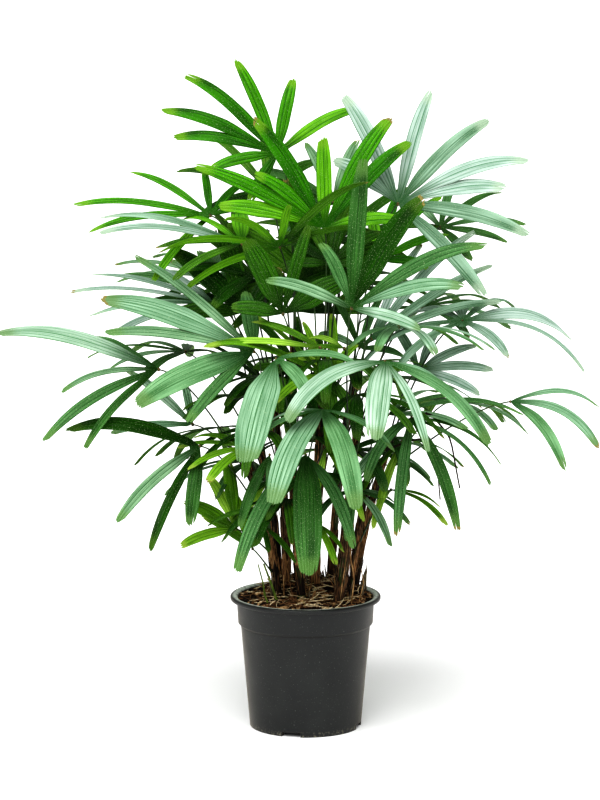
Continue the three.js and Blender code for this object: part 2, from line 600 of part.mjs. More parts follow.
function growLeaflet(frond, index, rows, leaflet) {
  const [turn, length, broad = 1] = rows[leaflet];
  const { out, across, upper } = fanAxes(frond.aim);
  const hub = new THREE.Vector3(...frond.hub);
  const small = LEAFLET.narrower * (1 - Math.min(1, length / LEAFLET.fullLength));
  const width = frond.width * broad * (1 - small) * (1 + LEAFLET.widthVaries * vary(index, leaflet, 3));
  const weight = frond.droop * (1 + LEAFLET.droopVaries * vary(index, leaflet, 4));
  const room = roomBeside(rows, leaflet);
  for (const shorter of LENGTHS) {
    for (const more of DROOPS) {
      for (const aside of TURNS) {
        const start = out.clone().applyAxisAngle(upper, -radians(turn + aside));
        const shape = { length: length * shorter, width, room, droop: weight * more };
        if (isFree(makeLeaflet(hub, start, upper, shape, LEAFLET.apart), numbered('frond', index))) {
          return makeLeaflet(hub, start, upper, shape, 0);
        }
      }
    }
  }
  return null;
}

const stems = FRONDS.map((frond, index) => {
  const name = numbered('frond', index);
  const stem = growStem(frond, name);
  put(stem, name);
  return stem;
});

FRONDS.forEach((frond, index) => {
  const name = numbered('frond', index);
  let whole = stems[index];
  leafletRows(frond, index).forEach((row, leaflet, rows) => {
    const solid = growLeaflet(frond, index, rows, leaflet);
    if (!solid) return;
    put(solid, name);
    whole = whole.add(solid);
  });
  addNode(name, whole.subtract(caneRooms[frond.cane]), TONES[frond.tone], 0.45);
});

export default plant;
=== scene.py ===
# %% [markdown]
# # A lady palm in a black nursery pot
#
# This lesson dresses a finished construction model of a lady palm. The model comes with plain
# solids: a pot, its potting mix, twelve canes and forty-six fronds. We keep every size and place
# and give each of them the surface of the real thing: pleated leaflets with blunt tips, fibrous
# canes, a rough heap of bark and peat, and a moulded pot with a worn lip. What is too fine or too
# deep inside the crown for a solid model is added: loose fibre, straw, young shoots and inner fans.
#
# Everything is in metres and in the model's own frame: +Z is up and the plant's front looks
# towards -Y. The plant's own sizes are easier to read in millimetres, so they are multiplied by
# MM where a mesh is made.

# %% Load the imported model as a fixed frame
import math

import bpy
import numpy as np
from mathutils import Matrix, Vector
from mathutils.kdtree import KDTree


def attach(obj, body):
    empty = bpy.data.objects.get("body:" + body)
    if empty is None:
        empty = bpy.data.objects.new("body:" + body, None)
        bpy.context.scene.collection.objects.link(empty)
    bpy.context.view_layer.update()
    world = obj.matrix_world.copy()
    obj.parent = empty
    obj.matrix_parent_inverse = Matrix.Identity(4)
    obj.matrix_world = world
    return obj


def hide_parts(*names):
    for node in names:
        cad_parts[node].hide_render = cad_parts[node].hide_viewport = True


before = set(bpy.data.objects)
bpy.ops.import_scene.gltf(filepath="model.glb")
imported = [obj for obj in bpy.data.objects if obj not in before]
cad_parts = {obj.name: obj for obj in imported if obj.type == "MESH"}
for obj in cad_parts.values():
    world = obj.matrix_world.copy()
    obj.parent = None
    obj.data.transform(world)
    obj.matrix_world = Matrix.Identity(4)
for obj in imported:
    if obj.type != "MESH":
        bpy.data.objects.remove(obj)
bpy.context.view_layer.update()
MM = 0.001
UP = np.array([0.0, 0.0, 1.0])

# %% [markdown]
# ## Camera, floor and light
#
# The plant stands on a pale floor that runs far behind it, so that floor and sky meet in one even
# white. Such a white room lights a plant softly from all sides. A sun with a very wide disc, high
# in front, adds what a studio's ceiling light gives: bright faces on leaves that turn up, and deep
# shade inside the crown. A weak lamp in front keeps the pot from going black.

# %% A long lens, a little above the crown, tilted down
CAMERA_PLACE = (-0.0088, -4.932, 1.282)
CAMERA_TILT = 8.72               # degrees below level
CAMERA_LENS = 142.1              # millimetres, for a picture 36 mm high

bpy.ops.object.camera_add(
    location=CAMERA_PLACE,
    rotation=(math.radians(90 - CAMERA_TILT), 0, 0),
)
camera = bpy.context.object
camera.data.lens = CAMERA_LENS
bpy.context.scene.camera = camera
bpy.context.scene.view_settings.view_transform = "Standard"
bpy.context.scene.view_settings.look = "High Contrast"
print("camera at", tuple(camera.location))

# %% A pale floor that reaches past the edge of the picture
FLOOR_RADIUS = 90                # metres
bpy.ops.mesh.primitive_circle_add(vertices=96, radius=FLOOR_RADIUS, fill_type="NGON")
floor = bpy.context.object
floor.name = "pale_floor"
floor_paint = bpy.data.materials.new("pale_floor")
floor_paint.use_nodes = True
floor_shader = floor_paint.node_tree.nodes["Principled BSDF"]
floor_shader.inputs["Base Color"].default_value = (0.9, 0.9, 0.9, 1)
floor_shader.inputs["Roughness"].default_value = 0.95
floor_shader.inputs["Specular IOR Level"].default_value = 0.1
floor.data.materials.append(floor_paint)
print("floor", FLOOR_RADIUS * 2, "m across")

# %% A dim white room, a wide soft sun and a lamp in front
ROOM_LIGHT = 0.4
PLANT_MIDDLE = (0, 0, 0.55)

room = bpy.data.worlds.new("white_room")
room.use_nodes = True
walls = room.node_tree.nodes["Background"]
walls.inputs["Color"].default_value = (1, 1, 1, 1)
walls.inputs["Strength"].default_value = ROOM_LIGHT
bpy.context.scene.world = room


def add_lamp(name, kind, place, **settings):
    """A lamp that looks at the middle of the plant."""
    bpy.ops.object.light_add(type=kind, location=place)
    lamp = bpy.context.object
    lamp.name = name
    way = Vector(PLANT_MIDDLE) - lamp.location
    lamp.rotation_euler = way.to_track_quat("-Z", "Y").to_euler()
    for setting, value in settings.items():
        setattr(lamp.data, setting, value)


add_lamp("soft_sun", "SUN", (-0.35, -1.9, 3.6), angle=math.radians(64), energy=3.3)
add_lamp("front_lamp", "AREA", (-0.5, -3.9, 2.2), size=2.2, energy=34)

# %% [markdown]
# ## Small helpers for materials
#
# Each finish is a node tree with a Principled shader. The patterns read object coordinates, which
# stay put on the pot, the mix and the canes, or the piece's own UV map on the leaves. Values that
# are the same all over the surface are set on the shader itself.


# %% Make nodes and link them in one call
def rgb(red, green, blue):
    """A colour given as it is seen on a screen, 0 to 255, turned into the shader's own scale."""
    def linear(value):
        value /= 255
        return value / 12.92 if value <= 0.04045 else ((value + 0.055) / 1.055) ** 2.4
    return (linear(red), linear(green), linear(blue), 1)


class Finish:
    """A material under construction: its tree, its shader, and short ways to add nodes."""

    def __init__(self, name, roughness, specular):
        self.material = bpy.data.materials.new(name)
        self.material.use_nodes = True
        self.tree = self.material.node_tree
        self.shader = self.tree.nodes["Principled BSDF"]
        self.shader.inputs["Roughness"].default_value = roughness
        self.shader.inputs["Specular IOR Level"].default_value = specular

    def feed(self, socket, value):
        """Links another node's output to a socket, or sets the socket to a plain value."""
        if isinstance(value, bpy.types.NodeSocket):
            self.tree.links.new(value, socket)
        else:
            socket.default_value = value

    def node(self, kind, inputs, **settings):
        """Adds a node, sets and feeds it, and gives back its outputs."""
        node = self.tree.nodes.new("ShaderNode" + kind)
        for setting, value in settings.items():
            setattr(node, setting, value)
        for name, value in inputs.items():
            self.feed(node.inputs[name], value)
        return node.outputs

    def place(self):
        return self.node("TexCoord", {})["Object"]

    def stretch(self, vector, scale):
        return self.node("Mapping", {"Vector": vector, "Scale": scale})["Vector"]

    def noise(self, vector, scale, detail):
        inputs = {"Vector": vector, "Scale": scale, "Detail": detail, "Roughness": 0.55}
        return self.node("TexNoise", inputs)["Fac"]

    def maths(self, operation, first, second=0.0):
        return self.node("Math", {0: first, 1: second}, operation=operation)["Value"]

    def times(self, first, second):
        return self.maths("MULTIPLY", first, second)

    def between(self, value, low, high, out_low=0.0, out_high=1.0):
        """Value mapped smoothly from low..high to out_low..out_high, and held at both ends."""
        ends = {"From Min": low, "From Max": high, "To Min": out_low, "To Max": out_high}
        outputs = self.node(
            "MapRange", {"Value": value, **ends}, interpolation_type="SMOOTHSTEP")
        return outputs["Result"]

    def blend(self, share, first, second):
        """Two colours mixed. The node has a pair of inputs for each kind of data, and 6 and 7
        are the colours'."""
        return self.node("Mix", {0: share, 6: first, 7: second}, data_type="RGBA")[2]

    def split(self, vector):
        outputs = self.node("SeparateXYZ", {"Vector": vector})
        return [outputs[axis] for axis in "XYZ"]

    def bump(self, height, distance, strength):
        inputs = {"Height": height, "Distance": distance, "Strength": strength}
        self.feed(self.shader.inputs["Normal"], self.node("Bump", inputs)["Normal"])

    def colour(self, value):
        self.feed(self.shader.inputs["Base Color"], value)

    def rough(self, value):
        self.feed(self.shader.inputs["Roughness"], value)


print("material helpers ready")

# %% [markdown]
# ## Shapes by extruding rings
#
# The pot, the mix and the canes are all stacks of level rings. By hand one would add a circle and
# then extrude, move and scale it again and again, which is what this helper does. The first disc
# stays as the underside and the last one closes the top, so the result is one closed skin.


# %% Extrude a stack of rings
def select_only(piece):
    bpy.ops.object.select_all(action="DESELECT")
    piece.select_set(True)
    bpy.context.view_layer.objects.active = piece


def apply_place(piece):
    """Moves the piece's place into its mesh, so that the object itself sits at the origin."""
    select_only(piece)
    bpy.ops.object.transform_apply(location=True, rotation=True, scale=True)


def smooth(piece, degrees):
    """Smooth shading, but for edges sharper than an angle."""
    select_only(piece)
    bpy.ops.object.shade_smooth_by_angle(angle=math.radians(degrees))


def apply_modifier(piece, kind, **settings):
    select_only(piece)
    bpy.ops.object.modifier_add(type=kind)
    modifier = piece.modifiers[-1]
    for name, value in settings.items():
        setattr(modifier, name, value)
    bpy.ops.object.modifier_apply(modifier=modifier.name)


def stack_rings(name, rings, sides):
    """A closed skin through rings given as (x, y, z, radius) in millimetres."""
    bpy.ops.object.select_all(action="DESELECT")
    x, y, z, radius = (value * MM for value in rings[0])
    bpy.ops.mesh.primitive_circle_add(
        vertices=sides, radius=radius, location=(x, y, z), fill_type="NGON"
    )
    piece = bpy.context.object
    piece.name = name
    bpy.ops.object.mode_set(mode="EDIT")
    for before, after in zip(rings, rings[1:]):
        centre = [value * MM for value in after[:3]]
        step = [(b - a) * MM for a, b in zip(before[:3], after[:3])]
        grow = after[3] / before[3]
        bpy.ops.mesh.extrude_region_move(TRANSFORM_OT_translate={"value": step})
        bpy.ops.transform.resize(value=(grow, grow, 1), center_override=centre)
    bpy.ops.mesh.select_all(action="SELECT")
    bpy.ops.mesh.normals_make_consistent(inside=False)
    bpy.ops.object.mode_set(mode="OBJECT")
    apply_place(piece)
    return piece


print("ring stacker ready")

# %% [markdown]
# ## The pot
#
# A nursery pot is moulded from thin black plastic. Its lip is rolled outwards to stiffen it, a
# collar under the lip lets pots be stacked, and a small step joins the collar to the tapering
# body. The foot has a narrow band and notches that let water run off. The rings below follow
# those features, the lip's edge is two arcs, and a bevel eases the corners as moulding does.

# %% Sizes of the pot, in millimetres
POT_HEIGHT = 212
POT_SIDES = 128
LIP_RADIUS = 120
LIP_DEPTH = 7.5
LIP_WIDTH = 7.5                  # from the lip's edge to the inner end of its flat top
LIP_DROP = 2.5                   # how far its top then slopes down before the wall
LIP_ROUND = 3.2                  # radius of the lip's outer edge
COLLAR_RADIUS = 110
COLLAR_DEPTH = 44
COLLAR_TAPER = 2.4
STEP_RUN = 4
BODY_RADIUS = 103.6
FOOT_RADIUS = 89
FOOT_BAND = 8
FOOT_BAND_TOP = FOOT_BAND + 1.5  # where the band has sloped back to the wall
FOOT_FLARE = 0.6
WALL = 2.2
FLOOR = 8                        # thickness of the pot's floor
PAD_RADIUS = 28                  # of the pad in the middle of the underside
RAISED = 6                       # how far the rest of the underside is raised
RAISED_SLOPE = 3
RING_INNER = 79                  # inner radius of the foot ring
LIP_UNDER = POT_HEIGHT - LIP_DEPTH
STEP_HEIGHT = POT_HEIGHT - COLLAR_DEPTH


def pot_radius(z):
    """Outside radius of the wall at a height below the lip."""
    if z >= STEP_HEIGHT:
        return COLLAR_RADIUS - COLLAR_TAPER * (POT_HEIGHT - z) / COLLAR_DEPTH
    return FOOT_RADIUS + (BODY_RADIUS - FOOT_RADIUS) * z / STEP_HEIGHT


def inside_radius(z):
    return pot_radius(z) - WALL


def arc(centre_radius, centre_height, radius, start, end, count):
    """Points (ring radius, height) on an arc from a start to an end angle in degrees."""
    return [
        (centre_radius + radius * math.cos(turn), centre_height + radius * math.sin(turn))
        for turn in np.radians(np.linspace(start, end, count))
    ]


print("wall at the foot:", round(inside_radius(FLOOR), 1), "mm inside")

# %% The pot's rings, from the middle of its underside round the lip to its floor
pot_profile = [
    (PAD_RADIUS, 0),
    (PAD_RADIUS + RAISED_SLOPE, RAISED),
    (RING_INNER - RAISED_SLOPE, RAISED),
    (RING_INNER, 0),
    (FOOT_RADIUS, 0),
    (FOOT_RADIUS + FOOT_FLARE, FOOT_BAND),
    (pot_radius(FOOT_BAND_TOP), FOOT_BAND_TOP),
    (pot_radius(STEP_HEIGHT - STEP_RUN), STEP_HEIGHT - STEP_RUN),
    (pot_radius(STEP_HEIGHT), STEP_HEIGHT),
    (pot_radius(LIP_UNDER), LIP_UNDER),
    *arc(LIP_RADIUS - LIP_ROUND, LIP_UNDER + LIP_ROUND, LIP_ROUND, -90, 0, 6),
    *arc(LIP_RADIUS - LIP_ROUND, POT_HEIGHT - LIP_ROUND, LIP_ROUND, 0, 90, 6),
    (LIP_RADIUS - LIP_WIDTH, POT_HEIGHT),
    (inside_radius(LIP_UNDER) + 1, POT_HEIGHT - LIP_DROP),
    (inside_radius(LIP_UNDER), LIP_UNDER),
    (inside_radius(STEP_HEIGHT), STEP_HEIGHT),
    (inside_radius(STEP_HEIGHT - STEP_RUN), STEP_HEIGHT - STEP_RUN),
    (inside_radius(FLOOR), FLOOR),
    (PAD_RADIUS, FLOOR),
]
pot = stack_rings("nursery_pot", [(0, 0, z, r) for r, z in pot_profile], POT_SIDES)
print("pot skin:", len(pot.data.polygons), "faces")

# %% Notches in the foot, cut with a block, then eased corners
NOTCH_COUNT = 4
NOTCH_FIRST = 255                # bearing of the first one in degrees, nearly straight in front
NOTCH_WIDTH = 30
NOTCH_HEIGHT = 7
NOTCH_DEPTH = 26                 # how long the cutting block is, across the ring
EASED = 0.7                      # width of the bevel along the pot's corners
EASED_FROM = math.radians(32)    # for corners at least as sharp as this

ring_middle = (FOOT_RADIUS + RING_INNER) / 2 * MM
for i in range(NOTCH_COUNT):
    bearing = math.radians(NOTCH_FIRST + 360 / NOTCH_COUNT * i)
    bpy.ops.mesh.primitive_cube_add(
        size=1,
        location=(ring_middle * math.cos(bearing), ring_middle * math.sin(bearing), 0),
        rotation=(0, 0, bearing),
        scale=(NOTCH_DEPTH * MM, NOTCH_WIDTH * MM, 2 * NOTCH_HEIGHT * MM),
    )
    cutter = bpy.context.object
    apply_modifier(pot, "BOOLEAN", object=cutter, operation="DIFFERENCE", solver="EXACT")
    bpy.data.objects.remove(cutter)
apply_modifier(
    pot, "BEVEL", width=EASED * MM, segments=2, limit_method="ANGLE", angle_limit=EASED_FROM
)
smooth(pot, 35)
print("pot after cutting and bevel:", len(pot.data.polygons), "faces")

# %% Black plastic with a dusty film, specks and a dirty foot
DIRT_HEIGHT = 12                 # up to which the foot is dirty
# Height of a dark line of painted shade in the crease under the collar.
CREASE_SHADE_HEIGHT = STEP_HEIGHT - STEP_RUN + 0.8    # just above the foot of the step

plastic = Finish("black_plastic", roughness=0.5, specular=0.45)
where = plastic.place()
across, deep, height = plastic.split(where)
clouds = plastic.noise(where, 16, 4)
film = plastic.blend(plastic.between(clouds, 0.35, 0.75), rgb(19, 21, 21), rgb(33, 35, 34))
specks = plastic.between(plastic.noise(where, 520, 1), 0.69, 0.76)
film = plastic.blend(plastic.times(specks, 0.55), film, rgb(96, 98, 92))
low = plastic.between(height, 0, DIRT_HEIGHT * MM, 1, 0)
dirt = plastic.times(low, plastic.between(plastic.noise(where, 260, 3), 0.5, 0.7))
film = plastic.blend(dirt, film, rgb(112, 108, 92))
print("dusty film ready")

# %% A dark line of painted shade in the crease under the collar, and a worn, powdery lip
to_crease_shade = plastic.maths("ABSOLUTE", plastic.maths("SUBTRACT", height, CREASE_SHADE_HEIGHT * MM))
crease_shade = plastic.between(to_crease_shade, 0.7 * MM, 1.9 * MM, 0.9, 0)
# Near black: painted shade under the collar's overhang.
film = plastic.blend(crease_shade, film, rgb(3, 4, 4))
crest = plastic.between(height, (POT_HEIGHT - 4.5) * MM, (POT_HEIGHT - 0.8) * MM)
from_axis = plastic.maths(
    "SQRT", plastic.maths("ADD", plastic.times(across, across), plastic.times(deep, deep)))
inner = plastic.between(from_axis, (LIP_RADIUS - 6.5) * MM, (LIP_RADIUS - 1.5) * MM, 1, 0)
powder = plastic.between(plastic.noise(where, 90, 4), 0.26, 0.5)
worn = plastic.times(plastic.times(crest, inner), powder)
plastic.colour(plastic.blend(worn, film, rgb(204, 213, 206)))
plastic.rough(plastic.between(clouds, 0.3, 0.8, 0.42, 0.6))
plastic.bump(plastic.noise(where, 700, 2), 0.0003, 0.35)
plastic.shader.inputs["Sheen Weight"].default_value = 0.2
plastic.shader.inputs["Sheen Roughness"].default_value = 0.35
plastic.shader.inputs["Sheen Tint"].default_value = rgb(236, 222, 196)
pot.data.materials.append(plastic.material)
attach(pot, "root")
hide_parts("pot")
print("pot finished")

# %% [markdown]
# ## The potting mix
#
# The mix is peat and bark. It lies just under the lip and is heaped round the canes, where years
# of old leaf bases and fibre have gathered. The body is again a stack of rings. Its top is then
# cut finer, pulled up with proportional editing as one would pull clay, and roughened with two
# sizes of displacement.

# %% The body of the mix, with a finer top
MIX_SIDES = 96
MIX_RINGS = 18                   # on the top, from the wall to the middle
MIX_LAST_RING = 3                # radius of the last one, which a disc closes
MIX_GAP = 0.6                    # to the pot's wall
MIX_FOOT = FLOOR + 0.3
MIX_EDGE = 205.5                 # height at the wall
MIX_SHOULDER = MIX_EDGE - 6      # up to here the mix follows the wall
MIX_TOP = 209
MIX_PLATEAU = 88                 # radius within which the top is level
TOP_FROM = (MIX_EDGE - 1) * MM   # metres; what is higher belongs to the top

inward = np.linspace(inside_radius(MIX_EDGE) - 2 * MIX_GAP, MIX_LAST_RING, MIX_RINGS)
mix_rings = [
    (0, 0, MIX_FOOT, inside_radius(FLOOR) - MIX_GAP),
    (0, 0, STEP_HEIGHT - STEP_RUN, inside_radius(STEP_HEIGHT - STEP_RUN) - MIX_GAP),
    (0, 0, MIX_SHOULDER, inside_radius(MIX_SHOULDER) - MIX_GAP),
]
for radius in inward:
    fall = max(0, (radius - MIX_PLATEAU) / (inward[0] - MIX_PLATEAU))
    mix_rings.append((0, 0, MIX_TOP + (MIX_EDGE - MIX_TOP) * fall, radius))
mix = stack_rings("peat_and_bark", mix_rings, MIX_SIDES)


def select_none_of(piece):
    """Clears the selection of a piece's corners, edges and faces."""
    select_only(piece)
    bpy.ops.object.mode_set(mode="EDIT")
    bpy.ops.mesh.select_all(action="DESELECT")
    bpy.ops.object.mode_set(mode="OBJECT")


select_none_of(mix)
for face in mix.data.polygons:
    face.select = face.center.z > TOP_FROM and face.normal.z > 0.5
bpy.ops.object.mode_set(mode="EDIT")
bpy.ops.mesh.subdivide(number_cuts=2)
bpy.ops.object.mode_set(mode="OBJECT")
print("mix:", len(mix.data.polygons), "faces")

# %% Heaps round the canes, each pulled up from one point
HEAPS = [                        # x, y, height and reach in millimetres
    (10, 35, 17, 75),
    (-35, 45, 13, 50),
    (60, 20, 11, 50),
    (-20, 80, 8, 40),
    (45, 75, 8, 45),
    (-70, -10, 4, 40),
]


def nearest_top(piece, x, y):
    """Index of the vertex nearest to a place on the piece's top."""
    top = [v for v in piece.data.vertices if v.co.z > TOP_FROM]
    return min(top, key=lambda v: (v.co.x - x * MM) ** 2 + (v.co.y - y * MM) ** 2).index


for x, y, height, reach in HEAPS:
    select_none_of(mix)
    mix.data.vertices[nearest_top(mix, x, y)].select = True
    bpy.ops.object.mode_set(mode="EDIT")
    bpy.ops.transform.translate(
        value=(0, 0, height * MM),
        use_proportional_edit=True,
        proportional_edit_falloff="SMOOTH",
        proportional_size=reach * MM,
    )
    bpy.ops.object.mode_set(mode="OBJECT")
print("heap top at", round(max(v.co.z for v in mix.data.vertices) / MM), "mm")

# %% Crumbs in two sizes
CALM_FROM = 92                   # radius from which the crumbs get lower
CALM_RUN = 14
CALMEST = 0.15                   # share of the crumbs' height that is left at the wall


def roughen(piece, name, grains, **settings):
    """Pushes corners in and out by a cloud pattern, once for each (grain, strength) in metres."""
    for grain, strength in grains:
        pattern = bpy.data.textures.new(name, "CLOUDS")
        pattern.noise_scale = grain
        pattern.noise_depth = 2
        apply_modifier(
            piece, "DISPLACE", texture=pattern, strength=strength, texture_coords="OBJECT",
            direction="NORMAL", **settings,
        )


top_group = mix.vertex_groups.new(name="top")
for v in mix.data.vertices:
    if v.co.z > TOP_FROM:
        from_axis = math.hypot(v.co.x, v.co.y) / MM
        left = 1 - max(0, (from_axis - CALM_FROM) / CALM_RUN)
        top_group.add([v.index], max(CALMEST, left), "REPLACE")
roughen(mix, "crumbs", ((0.012, 0.007), (0.0045, 0.0035)), mid_level=0.45, vertex_group="top")
smooth(mix, 40)
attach(mix, "root")
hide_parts("potting_mix")
print("mix roughened")

# %% Dark peat with brown bark
peat = Finish("peat", roughness=0.9, specular=0.2)
where = peat.place()
damp = peat.between(peat.noise(where, 140, 4), 0.35, 0.65)
soil_tone = peat.blend(damp, rgb(8, 5, 3), rgb(36, 23, 15))
bark_bits = peat.between(peat.noise(where, 420, 2), 0.6, 0.72)
peat.colour(peat.blend(peat.times(bark_bits, 0.7), soil_tone, rgb(104, 74, 46)))
peat.bump(peat.noise(where, 600, 4), 0.001, 0.6)
mix.data.materials.append(peat.material)
print("peat finished")

# %% [markdown]
# ## Joined meshes from arrays
#
# Chips, fibres and leaflets come in hundreds. A chip is modelled once, its corners are kept as an
# array, and every copy is a turned and scaled set of those corners. A fibre, a wrap or a leaflet
# follows a curve of its own, so its corners are worked out along that curve. All shapes of a kind
# then go into one mesh, with a material number for each face.


# %% Collect many small shapes into one piece
class Heap:
    """Corners, faces, and each face's material, gathered from many small shapes."""

    def __init__(self):
        self.corners = []
        self.faces = []
        self.slots = []
        self.count = 0

    def add(self, corners, faces, slots):
        """Takes in a shape, with one material number for all its faces or a list of them."""
        self.corners.append(corners)
        self.faces += [[self.count + corner for corner in face] for face in faces]
        self.slots += slots if isinstance(slots, list) else [slots] * len(faces)
        self.count += len(corners)

    def piece(self, name, materials, angle=40):
        mesh = bpy.data.meshes.new(name)
        mesh.from_pydata(np.concatenate(self.corners).tolist(), [], self.faces)
        mesh.polygons.foreach_set("material_index", self.slots)
        for material in materials:
            mesh.materials.append(material)
        piece = bpy.data.objects.new(name, mesh)
        bpy.context.scene.collection.objects.link(piece)
        smooth(piece, angle)
        print(f"{name}: {self.count} corners, {len(self.faces)} faces")
        return piece


def take_corners(piece):
    """A modelled template's corners and faces as arrays. The template is then removed."""
    corners = np.array([v.co[:] for v in piece.data.vertices])
    faces = [list(face.vertices) for face in piece.data.polygons]
    bpy.data.objects.remove(piece)
    return corners, faces


def turned(corners, spin, tip, scale):
    """Corners scaled, tipped about X and then spun about Z, with both angles in radians."""
    corners = corners * np.array(scale)
    y = corners[:, 1] * math.cos(tip) - corners[:, 2] * math.sin(tip)
    z = corners[:, 1] * math.sin(tip) + corners[:, 2] * math.cos(tip)
    x = corners[:, 0]
    return np.stack([
        x * math.cos(spin) - y * math.sin(spin),
        x * math.sin(spin) + y * math.cos(spin),
        z,
    ], axis=1)


def level_way(bearing):
    """A level direction, from a bearing in radians."""
    return np.array([math.cos(bearing), math.sin(bearing), 0])


def rim_of(rows, columns):
    """Pairs of neighbours round the rim of a grid of corners that are numbered row by row."""
    rim = list(range(columns))
    rim += [row * columns + columns - 1 for row in range(1, rows)]
    rim += [rows * columns - 1 - column for column in range(1, columns)]
    rim += [row * columns for row in range(rows - 2, 0, -1)]
    return list(zip(rim, rim[1:] + rim[:1]))


def rod(points, radii, sides=3):
    """A thin closed rod along points: a small ring of corners at each, and a cap at both ends."""
    points = np.asarray(points, float)
    ways = np.gradient(points, axis=0)
    ways /= np.linalg.norm(ways, axis=1, keepdims=True)
    helper = np.eye(3)[np.argmin(np.abs(ways).max(axis=0))]    # the axis that no part runs along
    side = np.cross(ways, helper)
    side /= np.linalg.norm(side, axis=1, keepdims=True)
    other = np.cross(ways, side)
    corners = []
    for i in range(sides):
        angle = 2 * math.pi * i / sides
        radial = side * math.cos(angle) + other * math.sin(angle)
        corners.append(points + radial * np.asarray(radii)[:, None])
    corners = np.stack(corners, axis=1).reshape(-1, 3)
    faces = []
    for r in range(len(points) - 1):
        for i in range(sides):
            a = r * sides + i
            b = r * sides + (i + 1) % sides
            faces.append([a, b, b + sides, a + sides])
    last = (len(points) - 1) * sides
    faces.append(list(range(sides))[::-1])
    faces.append([last + i for i in range(sides)])
    return corners, faces


print("array helpers ready")

# %% [markdown]
# ## Bark chips and straw on the mix
#
# Chips of bark, dark, brown and tan, lie at all angles, half sunk. Bits of straw and old fibre lie
# across them. A chip is a small block, cut finer and shaken out of true.

# %% One chip, then hundreds of copies dropped on the mix
CHIPS = 620
CHIP_SLOTS = 3                   # finishes for chips, then one for straw and one for fibre
CHIP_REACH = 104                 # how far from the middle of the pot chips lie
AROUND = (0, 6.3)                # range of bearings in radians, all the way round

rng = np.random.default_rng(7)
bpy.ops.object.select_all(action="DESELECT")
bpy.ops.mesh.primitive_cube_add(size=1)
chip = bpy.context.object
bpy.ops.object.mode_set(mode="EDIT")
bpy.ops.mesh.subdivide(number_cuts=1)
bpy.ops.transform.vertex_random(offset=0.24, uniform=1.0, seed=3)
bpy.ops.object.mode_set(mode="OBJECT")
chip_corners, chip_faces = take_corners(chip)


def top_of_mix(x, y):
    """Height of the mix, in millimetres, at a place given in millimetres."""
    hit, place, _, _ = mix.ray_cast(Vector((x * MM, y * MM, 0.3)), Vector((0, 0, -1)))
    return place.z / MM if hit else MIX_EDGE


def spot_on_mix(reach):
    radius = reach * math.sqrt(rng.random())
    bearing = rng.uniform(0, 2 * math.pi)
    return radius * math.cos(bearing), radius * math.sin(bearing)


litter = Heap()
for _ in range(CHIPS):
    x, y = spot_on_mix(CHIP_REACH)
    size = rng.uniform(3, 9) * (1.4 if rng.random() < 0.12 else 1)
    shape = (size, size * rng.uniform(0.4, 0.8), size * rng.uniform(0.2, 0.45))
    chip = turned(chip_corners, rng.uniform(*AROUND), rng.uniform(-0.7, 0.7), shape)
    chip = (chip + [x, y, top_of_mix(x, y) + 0.4]) * MM
    litter.add(chip, chip_faces, rng.integers(0, CHIP_SLOTS))
print("chips:", len(litter.corners))

# %% Straw and fibre: thin bent rods that lie on the mix, some with one end up
STRAWS = 260
STRAW_REACH = 98
STRAW_LIMIT = 106                # a straw that reached further would be in the pot's wall
STRAW_STEPS = np.linspace(-0.5, 0.5, 6)
STRAW_TAPER = np.array([0.6, 1, 1, 1, 0.9, 0.4])

for _ in range(STRAWS):
    x, y = spot_on_mix(STRAW_REACH)
    bearing = rng.uniform(*AROUND)
    length = rng.uniform(10, 42)
    curve = rng.uniform(-0.5, 0.5)
    lift = rng.uniform(0.0, 0.35) * length if rng.random() < 0.25 else 0
    run = length * STRAW_STEPS
    bow = curve * length * STRAW_STEPS ** 2
    xs = x + run * math.cos(bearing) - bow * math.sin(bearing)
    ys = y + run * math.sin(bearing) + bow * math.cos(bearing)
    if np.hypot(xs, ys).max() >= STRAW_LIMIT:
        continue
    ground = max(top_of_mix(a, b) for a, b in zip(xs, ys))
    uneven = rng.uniform(-0.4, 0.8, len(STRAW_STEPS))
    zs = ground + 0.6 + (STRAW_STEPS + 0.5) * lift + uneven
    radii = rng.uniform(0.45, 1.3) * STRAW_TAPER * MM
    corners, faces = rod(np.stack([xs, ys, zs], axis=1) * MM, radii)
    litter.add(corners, faces, CHIP_SLOTS + int(rng.random() < 0.45))
print("chips and straw:", len(litter.corners))

# %% Finishes for the litter, then the piece itself
LITTER_TONES = {                 # the dark and the light colour of each
    "bark_dark": ((16, 10, 7), (52, 35, 24)),
    "bark_brown": ((66, 44, 29), (134, 96, 64)),
    "bark_tan": ((118, 90, 62), (206, 170, 126)),
    "straw": ((176, 148, 106), (244, 228, 194)),
    "fibre_brown": ((74, 52, 36), (132, 98, 66)),
}


def dry_litter(name):
    """A dull finish in two tones of one colour."""
    dark, light = LITTER_TONES[name]
    finish = Finish(name, roughness=0.85, specular=0.2)
    where = finish.place()
    share = finish.between(finish.noise(where, 300, 3), 0.3, 0.7)
    finish.colour(finish.blend(share, rgb(*dark), rgb(*light)))
    finish.bump(finish.noise(finish.stretch(where, (1, 1, 0.4)), 900, 3), 0.0005, 0.5)
    return finish.material


litter_piece = litter.piece("bark_and_straw", [dry_litter(name) for name in LITTER_TONES])
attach(litter_piece, "root")

# %% [markdown]
# ## How the plant grows
#
# The clump has twelve canes. Each is a tapering limb that bows a little, given by its foot, its
# head, the radii at both, and the bow of its middle. Each frond leaves its cane at a height and
# has a hub, from which its fan of leaflets opens. The fan's aim is a bearing (0 is right, 90 is
# back), a lift above level, and a roll about its own axis. A leaflet is given by its turn in the
# fan, its length, and its share of the fan's leaflet width where that isn't 1. A fan that opens
# evenly is given by a count, a spread in degrees and a length.
#
# So a row of the table reads: cane, height on it, hub, aim, droop, width, tone, leaflets.

